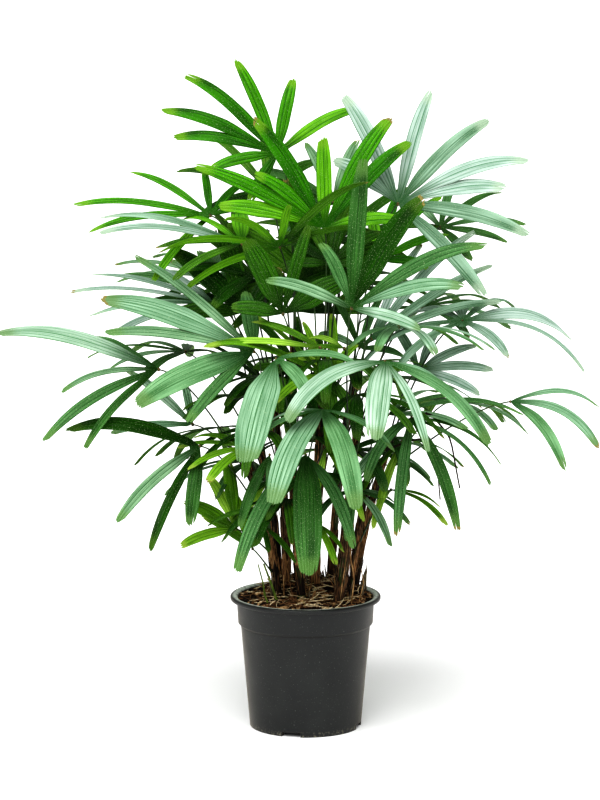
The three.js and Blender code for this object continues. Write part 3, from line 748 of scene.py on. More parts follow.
# %% The canes and fronds, in millimetres and degrees
CANES = [
    ((-42, 66), (-82, 79, 470), (7, 5), (8, 4)),
    ((-29, 34), (-56, 36, 560), (8, 5), (5, 7)),
    ((-8, 62), (-18, 65, 620), (8, 5.5), (-8, 0)),
    ((16, 24), (30, 0, 580), (8.5, 5.5), (-4, 6)),
    ((14, 86), (47, 130, 560), (7.5, 5), (-6, -8)),
    ((40, 62), (79, 77, 560), (7.5, 5), (-6, -2)),
    ((52, -42), (66, -58, 470), (9, 6), (10, 5)),
    ((50, 12), (85, 6, 520), (7.5, 5), (2, 3)),
    ((78, 44), (143, 53, 470), (7, 4.8), (-8, -3)),
    ((-6, -22), (-12, -64, 420), (8, 5.5), (-3, 3)),
    ((-44, -2), (-92, -16, 430), (7, 5), (6, 3)),
    ((70, -8), (104, -20, 430), (5.5, 4), (-3, 2)),
]

FRONDS = [
    (2, 600, (-45, 60, 910), (180, 50, 78), 0.35, 23, "bright",
     [(-105, 85), (-55, 110), (-31, 165), (-20, 195), (-1, 190), (20, 160), (51, 120), (92, 152)]),
    (3, 560, (30, -30, 800), (180, 80, 80), 0.3, 25, "bright",
     [(-60, 170), (-48, 225), (-34, 140), (-18, 204), (9, 140), (36, 200), (49, 190), (85, 120)]),
    (7, 505, (145, 10, 835), (0, 50, -76), 0.4, 25, "painted_white_sheen",
     [(-87, 125), (-63, 192), (-28, 184), (0, 192), (20, 216), (32, 171), (54, 212), (90, 198)]),
    (1, 545, (-150, 30, 815), (180, 20, 50), 0.4, 19, "bright",
     [(-65, 150), (-20, 195), (-8, 215), (22, 150), (68, 90), (105, 100), (135, 100)]),
    (1, 500, (-100, -20, 775), (190, 18, 35), 0.4, 20, "bright",
     [(-42, 150), (-14, 140), (-2, 225), (8, 225), (50, 110), (85, 110, 1.9)]),
    (3, 500, (-40, -70, 775), (270, 60, 0), 0.5, 15, "bright",
     [(-62, 150), (-36, 200), (-8, 90), (40, 110), (75, 190), (105, 160)]),
    (4, 545, (45, 150, 825), (140, 45, 40), 0.35, 19, "middle",
     (6, 170, 140)),
    (4, 500, (50, 200, 755), (75, 40, 0), 0.4, 21, "deep",
     (7, 190, 190)),
    (5, 540, (220, 200, 780), (20, 25, -30), 0.4, 16, "middle",
     (6, 170, 145)),
    (5, 490, (120, 120, 735), (40, 55, 0), 0.4, 21, "bright",
     (6, 170, 160)),
    (3, 450, (-35, -100, 675), (180, 85, 80), 0.25, 20, "deep",
     [(-70, 80, 1.3), (-18, 128, 2.1), (12, 140), (62, 110, 1.9)]),
    (6, 450, (70, -150, 690), (0, 70, -78), 0.4, 21, "middle",
     [(-85, 140), (-40, 110), (-17, 226, 1.4), (6, 200, 1.5), (33, 230), (46, 176), (78, 110)]),
    (7, 450, (145, -60, 650), (285, 5, 0), 0.7, 19, "pale",
     [(-100, 110), (-72, 155), (-46, 150), (-8, 140), (32, 130), (70, 100)]),
    (6, 400, (120, -200, 615), (275, -15, 5), 1, 21, "pale",
     [(-80, 120), (-54, 215, 1.8), (-14, 212, 0.8), (12, 180, 1.7), (67, 195, 1.9)]),
    (9, 400, (-45, -170, 615), (262, -35, -5), 1, 24, "pale",
     [(-105, 150, 0.8), (-50, 90), (10, 190, 2.3)]),
    (10, 410, (-80, -90, 615), (195, 15, 55), 0.3, 21, "middle",
     [(-52, 170), (-30, 218, 1.9), (2, 235), (16, 250, 2), (44, 238), (80, 110, 1.3)]),
    (9, 360, (25, -190, 540), (268, -10, 0), 1, 23, "pale",
     [(-60, 140, 0.8), (-16, 240, 1.4), (19, 235, 1.9), (60, 160, 0.7), (88, 110, 0.7)]),
    (9, 320, (0, -160, 465), (268, -25, 0), 1, 23, "middle",
     [(-30, 190, 0.9), (-3, 232, 1.9), (31, 240)]),
    (11, 370, (165, -80, 510), (285, -30, 0), 1.2, 19, "middle",
     [(-78, 165, 0.6), (-55, 165, 0.6), (-10, 215, 1.1), (22, 225), (55, 140)]),
    (3, 400, (25, -60, 575), (200, 35, 40), 0.45, 16, "painted_glow",
     [(-45, 130), (-8, 215), (16, 145), (60, 120)]),
    (3, 430, (10, 50, 705), (180, 80, 75), 0.35, 22, "deep",
     [(-70, 140, 1.5), (-35, 165, 1.7), (0, 170, 1.8), (33, 160, 1.7), (68, 140, 1.5)]),
    (1, 400, (-95, 0, 665), (180, 60, 70), 0.35, 21, "deep",
     [(-53, 120, 1.4), (-14, 150, 1.8), (25, 140, 1.8), (64, 120, 1.4)]),
    (10, 370, (-230, -40, 580), (190, 20, 45), 0.48, 19, "middle",
     [(-56, 195, 0.7), (-42, 238), (-20, 165, 0.7), (7, 264, 1.8), (22, 120)]),
    (1, 450, (-145, 30, 675), (178, 12, 20), 0.3, 17, "painted_white_sheen",
     [(-38, 190), (-18, 200), (2, 228), (20, 215), (48, 160)]),
    (0, 440, (-135, 80, 675), (165, 25, 35), 0.35, 19, "middle",
     [(-30, 130), (0, 175), (24, 120), (48, 125, 1.5), (75, 140)]),
    (0, 360, (-180, 40, 480), (175, 20, 60), 0.3, 16, "pale",
     [(-20, 130), (25, 140), (60, 70)]),
    (10, 330, (-165, -80, 465), (205, 5, 55), 0.55, 19, "middle",
     [(-72, 135, 1.2), (-52, 200, 0.8), (-31, 195), (22, 215, 1.6)]),
    (10, 290, (-90, -60, 460), (200, 5, 20), 0.5, 18, "painted_glow",
     [(-40, 120), (-8, 115), (20, 110), (55, 100)]),
    (0, 250, (-110, -60, 330), (190, 40, 70), 0.35, 20, "painted_glow",
     [(-45, 95), (-3, 92, 1.2), (30, 90), (52, 110, 1.2), (95, 90)]),
    (8, 450, (250, 50, 645), (0, 8, -35), 1, 18, "painted_white_sheen",
     [(-165, 200), (-130, 120), (-88, 55, 1.6), (-45, 140), (-9, 190, 1.6), (8, 220, 0.6),
      (40, 100), (160, 150)]),
    (8, 390, (325, 20, 520), (340, 15, -30), 1, 17, "pale",
     [(-12, 146, 0.9), (19, 182, 1.1), (46, 180)]),
    (11, 330, (130, -20, 505), (350, 20, -20), 0.6, 17, "middle",
     [(-50, 120), (-20, 130), (5, 220), (40, 150)]),
    (7, 350, (140, -20, 470), (260, -20, 0), 0.9, 18, "middle",
     [(-20, 110), (26, 135), (55, 110)]),
    (8, 420, (182, 90, 561), (0, 36, -62), 0.35, 17, "painted_white_sheen",
     [(-80, 80), (-35, 80), (5, 100), (28, 120), (50, 110)]),
    (11, 280, (135, -20, 385), (285, 0, 0), 0.8, 13, "painted_glow",
     [(-58, 85), (-24, 140), (30, 130)]),
    (7, 400, (105, 60, 615), (5, 40, -70), 0.3, 15, "painted_white_sheen",
     [(-27, 173), (-13, 238), (3, 225), (20, 215), (50, 150)]),
    (2, 560, (-60, 190, 840), (115, 45, 0), 0.45, 21, "deep",
     (6, 190, 175)),
    (0, 455, (-150, 180, 700), (125, 20, 0), 0.5, 21, "middle",
     (7, 200, 180)),
    (4, 450, (60, 240, 680), (85, 15, 0), 0.6, 22, "deep",
     (7, 210, 185)),
    (5, 440, (190, 190, 650), (45, 12, 0), 0.6, 21, "middle",
     (7, 200, 165)),
    (0, 400, (-195, 160, 580), (145, 8, 0), 0.6, 20, "middle",
     (6, 180, 170)),
    (4, 400, (-20, 240, 560), (100, -5, 0), 0.8, 22, "deep",
     (6, 180, 180)),
    (5, 380, (140, 220, 530), (62, -5, 0), 0.8, 21, "middle",
     (6, 180, 180)),
    (8, 350, (235, 150, 500), (35, 0, 0), 0.8, 19, "middle",
     (6, 180, 160)),
    (0, 310, (-140, 190, 450), (125, -8, 0), 0.8, 20, "deep",
     (5, 160, 165)),
    (4, 320, (40, 210, 410), (85, -10, 0), 0.8, 20, "middle",
     (5, 160, 165)),
]
# Fans inside the crown, most of them dark with painted shade, where the solid model keeps only
# the outer ones.
INNER_FRONDS = [
    (2, 420, (-40, 10, 560), (250, 10, 0), 0.9, 22, "deep", (6, 170, 170)),
    (3, 420, (30, -10, 590), (290, 10, 0), 0.9, 22, "deep", (6, 170, 170)),
    (7, 360, (80, -40, 540), (320, 0, 0), 0.9, 20, "deep", (6, 160, 160)),
    (1, 330, (-70, -10, 480), (225, 0, 0), 0.9, 20, "deep", (5, 150, 150)),
    (3, 300, (10, -60, 420), (265, -10, 0), 1, 20, "deep", (5, 150, 150)),
    (5, 300, (80, 30, 440), (330, 0, 0), 0.9, 20, "middle", (5, 150, 150)),
    (0, 300, (-85, 40, 420), (200, 0, 0), 0.8, 18, "middle", (5, 150, 140)),
    (9, 260, (-30, -70, 380), (240, -10, 0), 0.9, 17, "deep", (5, 140, 130)),
    (7, 290, (75, -50, 390), (300, -10, 0), 0.9, 17, "middle", (5, 140, 130)),
    (2, 520, (-20, 40, 700), (120, 40, 30), 0.5, 22, "deep", (6, 180, 170)),
    (5, 480, (80, 60, 690), (150, 50, 20), 0.5, 20, "deep", (4, 90, 110)),
    (3, 480, (40, 20, 740), (100, 60, 0), 0.4, 22, "deep", (6, 170, 112)),
    (1, 470, (-80, 20, 720), (160, 50, 20), 0.4, 20, "deep", (6, 180, 160)),
    (4, 350, (20, 120, 480), (90, -5, 0), 0.8, 20, "deep", (5, 160, 150)),
    (8, 330, (120, 70, 450), (10, 0, 0), 0.8, 18, "middle", (5, 150, 150)),
    (3, 400, (46, 20, 570), (170, 55, 60), 0.5, 15, "painted_glow", (5, 130, 95)),
    (2, 420, (-9, 30, 560), (200, 60, 60), 0.4, 20, "deep", (5, 150, 115)),
    (5, 420, (86, 60, 600), (60, 60, -40), 0.5, 14, "middle", (5, 150, 105)),
    (4, 470, (38, 100, 650), (90, 40, 0), 0.5, 20, "deep", (5, 140, 112)),
    (2, 440, (-25, -20, 588), (265, -45, 0), 0.8, 20, "deep",
     [(-32, 110), (-4, 130, 1.3), (30, 115)]),
    (3, 420, (38, -10, 565), (275, -50, 0), 0.8, 20, "deep",
     [(-30, 105), (2, 130, 1.4), (32, 110)]),
    (9, 350, (32, -60, 460), (270, -50, 0), 0.8, 15, "painted_glow", [(-32, 135), (12, 90, 0.8)]),
    (7, 380, (152, -20, 463), (238, -45, 0), 0.7, 15, "painted_glow",
     [(-28, 90, 0.8), (0, 135), (27, 120, 0.8)]),
    (10, 240, (-84, -20, 290), (150, 70, 60), 0.4, 16, "painted_glow",
     [(-30, 95, 1.3), (0, 105, 1.4), (30, 90, 1.2)]),
    (9, 270, (18, -90, 345), (305, -40, 0), 0.7, 15, "painted_glow", [(-30, 60, 0.8), (0, 75)]),
    (10, 280, (-68, -80, 340), (320, -25, 0), 0.6, 14, "deep", [(0, 85), (35, 60, 0.8)]),
    (10, 300, (-66, -70, 366), (190, -5, 20), 0.5, 16, "deep", [(-30, 70, 0.8), (0, 92)]),
    (10, 380, (-56, -100, 455), (225, -50, 30), 0.7, 17, "middle", [(-30, 80), (0, 125)]),
    (1, 380, (-60, 30, 540), (230, 20, 40), 0.5, 20, "deep", (6, 170, 125)),
    (4, 420, (70, 90, 560), (330, 20, 0), 0.6, 20, "deep", (6, 180, 140)),
    (2, 330, (-10, 50, 450), (280, 20, 0), 0.7, 18, "deep", (6, 170, 120)),
    (0, 360, (-90, 70, 520), (240, 10, 0), 0.7, 18, "deep", (6, 170, 130)),
    (3, 500, (38, 60, 727), (180, 40, 78), 0.4, 13, "painted_white_sheen",
     [(-28, 50), (-6, 60), (16, 62), (40, 50)]),
    (3, 480, (60, -60, 616), (180, 20, 45), 0.6, 14, "painted_glow", [(-12, 56, 0.9), (16, 60)]),
    (2, 500, (22, -96, 622), (184, 20, 50), 0.35, 13, "painted_glow", [(-12, 178), (14, 112)]),
]
ALL_FRONDS = FRONDS + INNER_FRONDS
PULLS = (0, 10, -10, 20, -20, 32, -32, 45, -45)   # sideways pulls of a leaf stem's knee
TURNS = (0, 4, -4, 8, -8, 13, -13)                # degrees that a leaflet may be turned aside
DROOPS = (1, 0.72, 1.35)                          # and how much less or more it may droop
LENGTHS = (1, 0.75)                               # or be shorter
SOIL_LEVEL = 209.3
# Leaf tones: the middle one is the leaves' own green, the others are painted light shining through
# leaves, painted sheen and painted shade.
TONES = ("bright", "painted_glow", "middle", "pale", "painted_white_sheen", "deep")
print(len(CANES), "canes,", len(FRONDS), "fronds and", len(INNER_FRONDS), "inner ones")

# %% The growing rule: canes and fans
FLARE = 0.16                     # how much wider a cane is at its very foot
EVEN_JITTER = 5                  # degrees that a leaflet of an even fan may stand off its place
OUTER_SHORTER = 0.3              # how much shorter such a fan's outermost leaflets are


def vary(frond, leaflet, purpose):
    """A repeatable number from -1 to 1 for a frond, a leaflet and a purpose."""
    wave = math.sin(frond * 12.9898 + leaflet * 78.233 + purpose * 37.719) * 43758.5453
    return 2 * (wave - math.floor(wave)) - 1


def unit(vector):
    return vector / np.linalg.norm(vector, axis=-1, keepdims=True)


def on_cane(cane, share):
    """Point on a cane's axis, from 0 at the soil to 1 at its head."""
    foot, head, _, bow = cane
    arch = math.sin(math.pi * share)
    return np.array([
        foot[0] + (head[0] - foot[0]) * share + bow[0] * arch,
        foot[1] + (head[1] - foot[1]) * share + bow[1] * arch,
        SOIL_LEVEL + (head[2] - SOIL_LEVEL) * share,
    ])


def cane_radius(cane, share):
    low, high = cane[2]
    return (low + (high - low) * share) * (1 + FLARE * math.exp(-9 * share))


def fan_axes(aim):
    """The fan's own directions: out along its middle, and up from its upper face."""
    bearing, lift, roll = np.radians(aim)
    out = np.array([
        math.cos(bearing) * math.cos(lift), math.sin(bearing) * math.cos(lift), math.sin(lift)])
    level = np.array([math.sin(bearing), -math.cos(bearing), 0])
    face = np.cross(level, out)
    return out, math.cos(roll) * face - math.sin(roll) * level


def leaflet_rows(index, leaflets):
    """A frond's leaflets as (turn, length, share of the width)."""
    if isinstance(leaflets, list):
        return [(*row, 1)[:3] for row in leaflets]
    count, spread, length = leaflets
    rows = []
    for i in range(count):
        across = i / (count - 1) - 0.5
        turn = spread * across + EVEN_JITTER * vary(index, i, 1)
        shorter = 1 - OUTER_SHORTER * (2 * across) ** 2
        rows.append((turn, length * shorter * (1 + 0.12 * vary(index, i, 2)), 1))
    return rows


print("first frond has", len(leaflet_rows(0, FRONDS[0][7])), "leaflets")

# %% The growing rule: stems and leaflets
STRAIGHT_IN = 0.25               # share of a stem that comes in along the fan's own way
KNEE_AT = 0.6                    # share of the way from the cane over which its knee stands
KNEE_BELOW = 0.05                # how far the knee stays below the hub, as a share of the way
PATH_STEPS = 24                  # steps in which a leaflet's curve is worked out
ROOT = 3                         # from the hub's centre to a leaflet's root
ROOT_WIDTH = 0.16                # widths as shares of the full one
TIP_LOSS = 0.58
WIDEST_AT = 0.42                 # shares of the length
NARROWS_FROM = 0.6
SAG = 1.35                       # how far a leaflet of droop 1 bends down
LEVELLING = 0.4                  # how far its face has turned level at the tip
WIDEST_GAP = 20                  # degrees to a neighbour, at most, that a leaflet may fill
ROOM_SHARE = 0.86


def stem_curve(frond, pull):
    """Start, knee and hub of a frond's stem, and its level side."""
    cane = CANES[frond[0]]
    start = on_cane(cane, (frond[1] - SOIL_LEVEL) / (cane[1][2] - SOIL_LEVEL))
    hub = np.array(frond[2], float)
    reach = np.linalg.norm(start - hub)
    side = unit(np.array([start[1] - hub[1], hub[0] - start[0], 0]))
    ahead = hub - STRAIGHT_IN * reach * fan_axes(frond[3])[0]
    below = start + KNEE_AT * (hub - start)
    below[2] = hub[2]
    knee = (ahead + below) / 2
    knee[2] = min(knee[2], hub[2] - KNEE_BELOW * reach)
    return start, knee + side * pull, hub, side


def on_stem(curve, t):
    start, knee, hub, _ = curve
    return (1 - t) ** 2 * start + 2 * t * (1 - t) * knee + t * t * hub


def width_at(t):
    """A leaflet's width at shares of its length, of its full width."""
    rise = np.sin(np.pi / 2 * np.minimum(1, t / WIDEST_AT))
    late = np.maximum(0, (t - NARROWS_FROM) / (1 - NARROWS_FROM))
    return (ROOT_WIDTH + (1 - ROOT_WIDTH) * rise) * (1 - TIP_LOSS * late ** 2)


def leaflet_path(hub, start, upper, length, droop):
    """Places along a leaflet's middle, with its directions along and sideways at each."""
    flat = unit(np.cross(start, upper))
    t = np.linspace(0, 1, PATH_STEPS + 1)
    along = unit(start - SAG * droop * (t ** 2)[:, None] * UP)
    place = hub + ROOT * start + np.cumsum(along, axis=0) * length / PATH_STEPS
    place -= along[0] * length / PATH_STEPS
    level = np.cross(along, UP)
    level *= np.sign(level @ flat)[:, None]
    side = flat + (level - flat) * (LEVELLING * t)[:, None]
    side = unit(side - np.sum(side * along, axis=1, keepdims=True) * along)
    return place, along, side


def room_beside(rows, leaflet):
    """How wide a leaflet may be for each millimetre from the hub, next to its neighbours."""
    turn, _, broad = rows[leaflet]
    gaps = [WIDEST_GAP]
    for other in (leaflet - 1, leaflet + 1):
        if 0 <= other < len(rows):
            gaps.append(abs(rows[other][0] - turn) * broad / (broad + rows[other][2]))
    return ROOM_SHARE * math.tan(math.radians(min(gaps)))


print("growing rule ready")

# %% [markdown]
# ## Which way each leaflet went
#
# Where a solid leaflet would have touched a neighbour it was turned aside, drooped less or more,
# or was made shorter. The choice shows in the solid itself. So for each leaflet we try the same
# ways again and take the one whose corners lie on the frond's solid. The same goes for the stems.

# %% Match each limb to its solid
MATCH = 0.2                      # millimetres within which a corner counts as found
ENOUGH = 4                       # corners that have to be found, or the solid lacks the leaflet
STEM_RADIUS = 2.1                # of a solid stem at its hub
STEM_RINGS = 6
STEM_SIDES = 3
STATIONS = (0, 7, 14, 20, 24)    # path steps at which a solid leaflet has corners
FULL_LENGTH = 180                # leaflets shorter than this are narrower too
NARROWER = 0.18                  # by up to this share


def solid_corners(name):
    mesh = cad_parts[name].data
    tree = KDTree(len(mesh.vertices))
    for vertex in mesh.vertices:
        tree.insert(vertex.co / MM, vertex.index)
    tree.balance()
    return tree


def found(tree, corners):
    return sum(tree.find(corner)[2] < MATCH for corner in corners)


def stem_corners(curve):
    start, knee, hub, side = curve
    corners = []
    for ring in range(STEM_RINGS):
        t = ring / (STEM_RINGS - 1)
        tangent = unit((1 - t) * (knee - start) + t * (hub - knee))
        across = unit(np.cross(tangent, side))
        radius = STEM_RADIUS * (1 + 0.35 * (1 - t))
        for i in range(STEM_SIDES):
            angle = 2 * math.pi * i / STEM_SIDES
            radial = side * math.cos(angle) + across * math.sin(angle)
            corners.append(on_stem(curve, t) + radius * radial)
    return corners


def leaflet_corners(shape):
    """The corners of the solid leaflet: both edges and the rib at each of its stations."""
    length = shape["length"]
    place, along, side = leaflet_path(
        shape["hub"], shape["start"], shape["upper"], length, shape["droop"])
    corners = []
    for i in STATIONS:
        t = i / PATH_STEPS
        half = min(shape["width"] / 2 * width_at(t), shape["room"] * (ROOT + t * length))
        thick = max(1.8, length / 80) * (1 - 0.2 * t)
        face = np.cross(side[i], along[i])
        corners += [place[i] - half * side[i], place[i] + half * side[i], place[i] + thick * face]
    return corners


def turn_about(vector, axis, degrees):
    angle = math.radians(degrees)
    return (vector * math.cos(angle) + np.cross(axis, vector) * math.sin(angle)
            + axis * (axis @ vector) * (1 - math.cos(angle)))


def leaflet_choices(index, rows, leaflet):
    """Every way the leaflet may have gone, as shapes."""
    _, _, hub, aim, droop, width, _, _ = ALL_FRONDS[index]
    turn, length, broad = rows[leaflet]
    out, upper = fan_axes(aim)
    small = NARROWER * (1 - min(1, length / FULL_LENGTH))
    full = width * broad * (1 - small) * (1 + 0.1 * vary(index, leaflet, 3))
    weight = droop * (1 + 0.2 * vary(index, leaflet, 4))
    for shorter in LENGTHS:
        for more in DROOPS:
            for aside in TURNS:
                yield {
                    "hub": np.array(hub, float),
                    "start": turn_about(out, upper, -(turn + aside)),
                    "upper": upper,
                    "length": length * shorter,
                    "width": full,
                    "room": room_beside(rows, leaflet),
                    "droop": weight * more,
                }


stems = []
leaflets = []
for index, frond in enumerate(FRONDS):
    tree = solid_corners(f"frond_{index + 1:02d}")
    curves = [stem_curve(frond, pull) for pull in PULLS]
    stems.append(max(curves, key=lambda curve: found(tree, stem_corners(curve))))
    rows = leaflet_rows(index, frond[7])
    for leaflet in range(len(rows)):
        choices = list(leaflet_choices(index, rows, leaflet))
        scores = [found(tree, leaflet_corners(choice)) for choice in choices]
        best = int(np.argmax(scores))
        if scores[best] >= ENOUGH:
            leaflets.append({"frond": index, "leaflet": leaflet, **choices[best]})
print(len(stems), "stems and", len(leaflets), "leaflets matched")

# %% The inner fronds go their first way
for index in range(len(FRONDS), len(ALL_FRONDS)):
    frond = ALL_FRONDS[index]
    stems.append(stem_curve(frond, 0))
    rows = leaflet_rows(index, frond[7])
    for leaflet in range(len(rows)):
        shape = next(leaflet_choices(index, rows, leaflet))
        leaflets.append({"frond": index, "leaflet": leaflet, **shape})
print(len(leaflets), "leaflets in all")

# %% [markdown]
# ## The canes
#
# A lady palm's cane is a hard green stem hidden in the brown, woven fibre of its old leaf bases.
# The core is a stack of rings, roughened by a noise that is drawn out along the cane. On it lie
# ragged wraps, one above the other as the leaves once stood, and hundreds of loose fibres. One
# large smooth tube with a bump texture would look like a pipe: the frayed outline matters here.

# %% Cores: a stack of rings for each cane, joined and roughened
CANE_SIDES = 24
CANE_RINGS = 30
CORE_SHARE = 0.8                 # the rest of the radius is wraps and fibre

cores = []
for number, cane in enumerate(CANES):
    rings = []
    for r in range(CANE_RINGS + 1):
        share = r / CANE_RINGS
        x, y, z = on_cane(cane, share)
        swelling = 1 + 0.05 * math.sin(11 * share * math.pi + number)
        rings.append((x, y, z, cane_radius(cane, share) * CORE_SHARE * swelling))
    cores.append(stack_rings(f"core_{number + 1}", rings, CANE_SIDES))


def join_all(pieces, name):
    """Joins pieces into the first of them and names it."""
    bpy.ops.object.select_all(action="DESELECT")
    for piece in pieces:
        piece.select_set(True)
    bpy.context.view_layer.objects.active = pieces[0]
    bpy.ops.object.join()
    pieces[0].name = name
    return pieces[0]


canes = join_all(cores, "canes")
bpy.ops.object.empty_add()
stretcher = bpy.context.object
stretcher.scale = (1, 1, 7)      # the pattern is drawn out along Z as this object is
bpy.context.view_layer.update()
roughen(
    canes, "strands", ((0.006, 0.0032), (0.0022, 0.0016)),
    mid_level=0.5, texture_coords_object=stretcher,
)
bpy.data.objects.remove(stretcher)
smooth(canes, 50)
print("cane cores:", len(canes.data.polygons), "faces")

# %% Ragged wraps of old leaf bases
WRAP_COLUMNS = 18
WRAP_ROWS = 5
WRAP_THICKNESS = 0.7
WRAP_SLOTS = 3                   # finishes for wraps, the first of the fibre's six
BARE_TOP = 30                    # of a cane, where no new wrap begins

rng = np.random.default_rng(21)
fibre = Heap()


def cane_frame(cane, share):
    """Middle of the cane at a share of its height, and its core's radius."""
    return on_cane(cane, share), cane_radius(cane, share) * CORE_SHARE


def wrap(cane, low, high, bearing, span, stand_off):
    """A thin bent plate round part of a cane, with its upper edge torn into points."""
    turns = bearing + np.linspace(-span / 2, span / 2, WRAP_COLUMNS)
    torn = high - (high - low) * 0.55 * rng.random(WRAP_COLUMNS) ** 1.6
    torn[[0, -1]] = low + (high - low) * 0.25
    sheets = []
    for skin_offset in (0, WRAP_THICKNESS):
        sheet = []
        for row in range(WRAP_ROWS):
            step = row / (WRAP_ROWS - 1)
            for column, turn in enumerate(turns):
                share = min(1, low + (torn[column] - low) * step)
                middle, radius = cane_frame(cane, share)
                ripple = 0.5 * math.sin(9 * turn + 5 * low)
                out = radius * 0.98 + stand_off * step ** 1.5 + ripple + skin_offset
                sheet.append(middle + out * level_way(turn))
        sheets.append(np.array(sheet))
    count = WRAP_COLUMNS * WRAP_ROWS
    faces = []
    for row in range(WRAP_ROWS - 1):
        for column in range(WRAP_COLUMNS - 1):
            a = row * WRAP_COLUMNS + column
            b, c, d = a + 1, a + 1 + WRAP_COLUMNS, a + WRAP_COLUMNS
            faces.append([a + count, b + count, c + count, d + count])
            faces.append([d, c, b, a])
    for a, b in rim_of(WRAP_ROWS, WRAP_COLUMNS):
        faces.append([a, b, b + count, a + count])
    return np.concatenate(sheets) * MM, faces


for cane in CANES:
    height = cane[1][2] - SOIL_LEVEL
    at = rng.uniform(0.0, 12.0)
    bearing = rng.uniform(*AROUND)
    while at < height - BARE_TOP:
        tall = rng.uniform(34, 62)
        low, high = at / height, min(1, (at + tall) / height)
        span = rng.uniform(2.4, 4.6)
        corners, faces = wrap(cane, low, high, bearing, span, rng.uniform(0.3, 1.6))
        fibre.add(corners, faces, int(rng.integers(0, WRAP_SLOTS)))
        at += rng.uniform(20, 34)
        bearing += 2.6 + rng.uniform(-0.5, 0.5)
print("wrap faces:", len(fibre.faces))

# %% Loose fibres that run up the canes, some of them sprung away
FIBRES_PER_CANE = 95
FIBRE_TAPER = np.array([0.7, 1, 1, 1, 0.9, 0.7, 0.35])

for cane in CANES:
    height = cane[1][2] - SOIL_LEVEL
    for _ in range(FIBRES_PER_CANE):
        low = rng.uniform(0, 0.9)
        high = min(1.0, low + rng.uniform(18, 95) / height)
        bearing = rng.uniform(*AROUND)
        slant = rng.uniform(-0.9, 0.9)
        sprung = rng.uniform(1, 10) if rng.random() < 0.3 else rng.uniform(0, 0.8)
        points = []
        for step in np.linspace(0, 1, len(FIBRE_TAPER)):
            middle, radius = cane_frame(cane, low + (high - low) * step)
            out = radius + WRAP_THICKNESS + sprung * step ** 2.2
            points.append(middle + out * level_way(bearing + slant * step))
        radii = rng.uniform(0.25, 0.6) * FIBRE_TAPER * MM
        corners, faces = rod(np.array(points) * MM, radii)
        fibre.add(corners, faces, int(rng.choice([1, 2, 3, 3, 4])))
print("with fibres:", len(fibre.faces), "faces")

# %% Stubs of old stalks round the canes' feet
STUBS = 58
STUB_STEPS = (0, 0.35, 0.7, 1)
STUB_TAPER = np.array([1.1, 1, 0.85, 0.5])
ROUND_SIDES = 5                  # of stubs and strands, which are thicker than fibres

for _ in range(STUBS):
    foot = on_cane(CANES[rng.integers(0, len(CANES))], 0)
    out = level_way(rng.uniform(*AROUND))
    start = foot + out * rng.uniform(8, 22) - UP * 3
    tall = rng.uniform(12, 46)
    lean = out * rng.uniform(-0.15, 0.5) + UP
    points = [start + lean * tall * step + out * 3 * step ** 2 for step in STUB_STEPS]
    radii = rng.uniform(0.9, 2.6) * STUB_TAPER * MM
    corners, faces = rod(np.array(points) * MM, radii, ROUND_SIDES)
    fibre.add(corners, faces, int(rng.choice([1, 2, 3, 4])))
print("with stubs:", len(fibre.faces), "faces")

# %% Young shoots and dried strands, drawn point by point
STRANDS = [                      # points, thickness, and number of the finish
    ([(-44, -40, 206), (-54, -43, 238), (-66, -45, 271)], 2.4, 5),
    ([(-62, -30, 206), (-68, -33, 240), (-75, -35, 268)], 1.6, 5),
    ([(-58, -52, 206), (-66, -56, 226)], 1.8, 5),
    ([(72, -55, 206), (77, -60, 250), (70, -62, 290), (75, -60, 312)], 1.2, 3),
    ([(84, -40, 206), (92, -44, 240), (88, -46, 262)], 1.0, 3),
    ([(120, -60, 470), (190, -70, 520), (225, -80, 480), (240, -90, 400)], 2.0, 0),
    ([(110, -60, 450), (180, -60, 476), (205, -70, 440), (210, -80, 380)], 1.8, 0),
]
for points, thick, slot in STRANDS:
    ends = np.array(points, float)
    steps = np.linspace(0, len(ends) - 1, 4 * len(ends))
    line = np.stack([np.interp(steps, range(len(ends)), ends[:, k]) for k in range(3)], axis=1)
    line[1:-1] = (line[:-2] + 2 * line[1:-1] + line[2:]) / 4
    radii = thick * np.linspace(1, 0.6, len(line)) * MM
    corners, faces = rod(line * MM, radii, ROUND_SIDES)
    fibre.add(corners, faces, slot)
print("with shoots and strands:", len(fibre.faces), "faces")

# %% Finish of the cores, green where the wraps have fallen


def stringy(name, dark, light):
    """A finish in streaks along the cane, with darker patches. Gives back the last tone too."""
    finish = Finish(name, roughness=0.8, specular=0.25)
    where = finish.stretch(finish.place(), (1, 1, 0.14))
    share = finish.between(finish.noise(where, 520, 4), 0.36, 0.66)
    tone = finish.blend(share, rgb(*dark), rgb(*light))
    patch = finish.between(finish.noise(finish.place(), 30, 2), 0.35, 0.7, 0.0, 0.45)
    tone = finish.blend(patch, tone, rgb(*dark))
    finish.colour(tone)
    finish.bump(finish.noise(where, 1500, 3), 0.0006, 0.6)
    return finish, tone


core_finish, core_tone = stringy("cane_core", (14, 10, 6), (86, 62, 40))
green_place = core_finish.between(core_finish.noise(core_finish.place(), 22, 2), 0.52, 0.6)
core_finish.colour(core_finish.blend(green_place, core_tone, rgb(50, 66, 28)))
canes.data.materials.append(core_finish.material)
print("core finished")

# %% Finishes of the wraps, fibres and shoots, then both pieces
FIBRE_TONES = {                  # the dark and the light colour of each
    "wrap_dark": ((9, 6, 4), (56, 40, 27)),
    "wrap_brown": ((30, 20, 13), (118, 86, 56)),
    "wrap_copper": ((66, 45, 27), (178, 134, 90)),
    "fibre_tan": ((112, 82, 50), (196, 160, 112)),
    "fibre_grey": ((74, 64, 50), (150, 136, 108)),
    "young_shoot": ((52, 78, 20), (132, 148, 66)),
}
fibre_finishes = [stringy(name, *tones)[0].material for name, tones in FIBRE_TONES.items()]
fibre_piece = fibre.piece("cane_fibre", fibre_finishes)
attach(canes, "root")
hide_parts(*[f"cane_{number + 1:02d}" for number in range(len(CANES))])
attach(fibre_piece, "root")

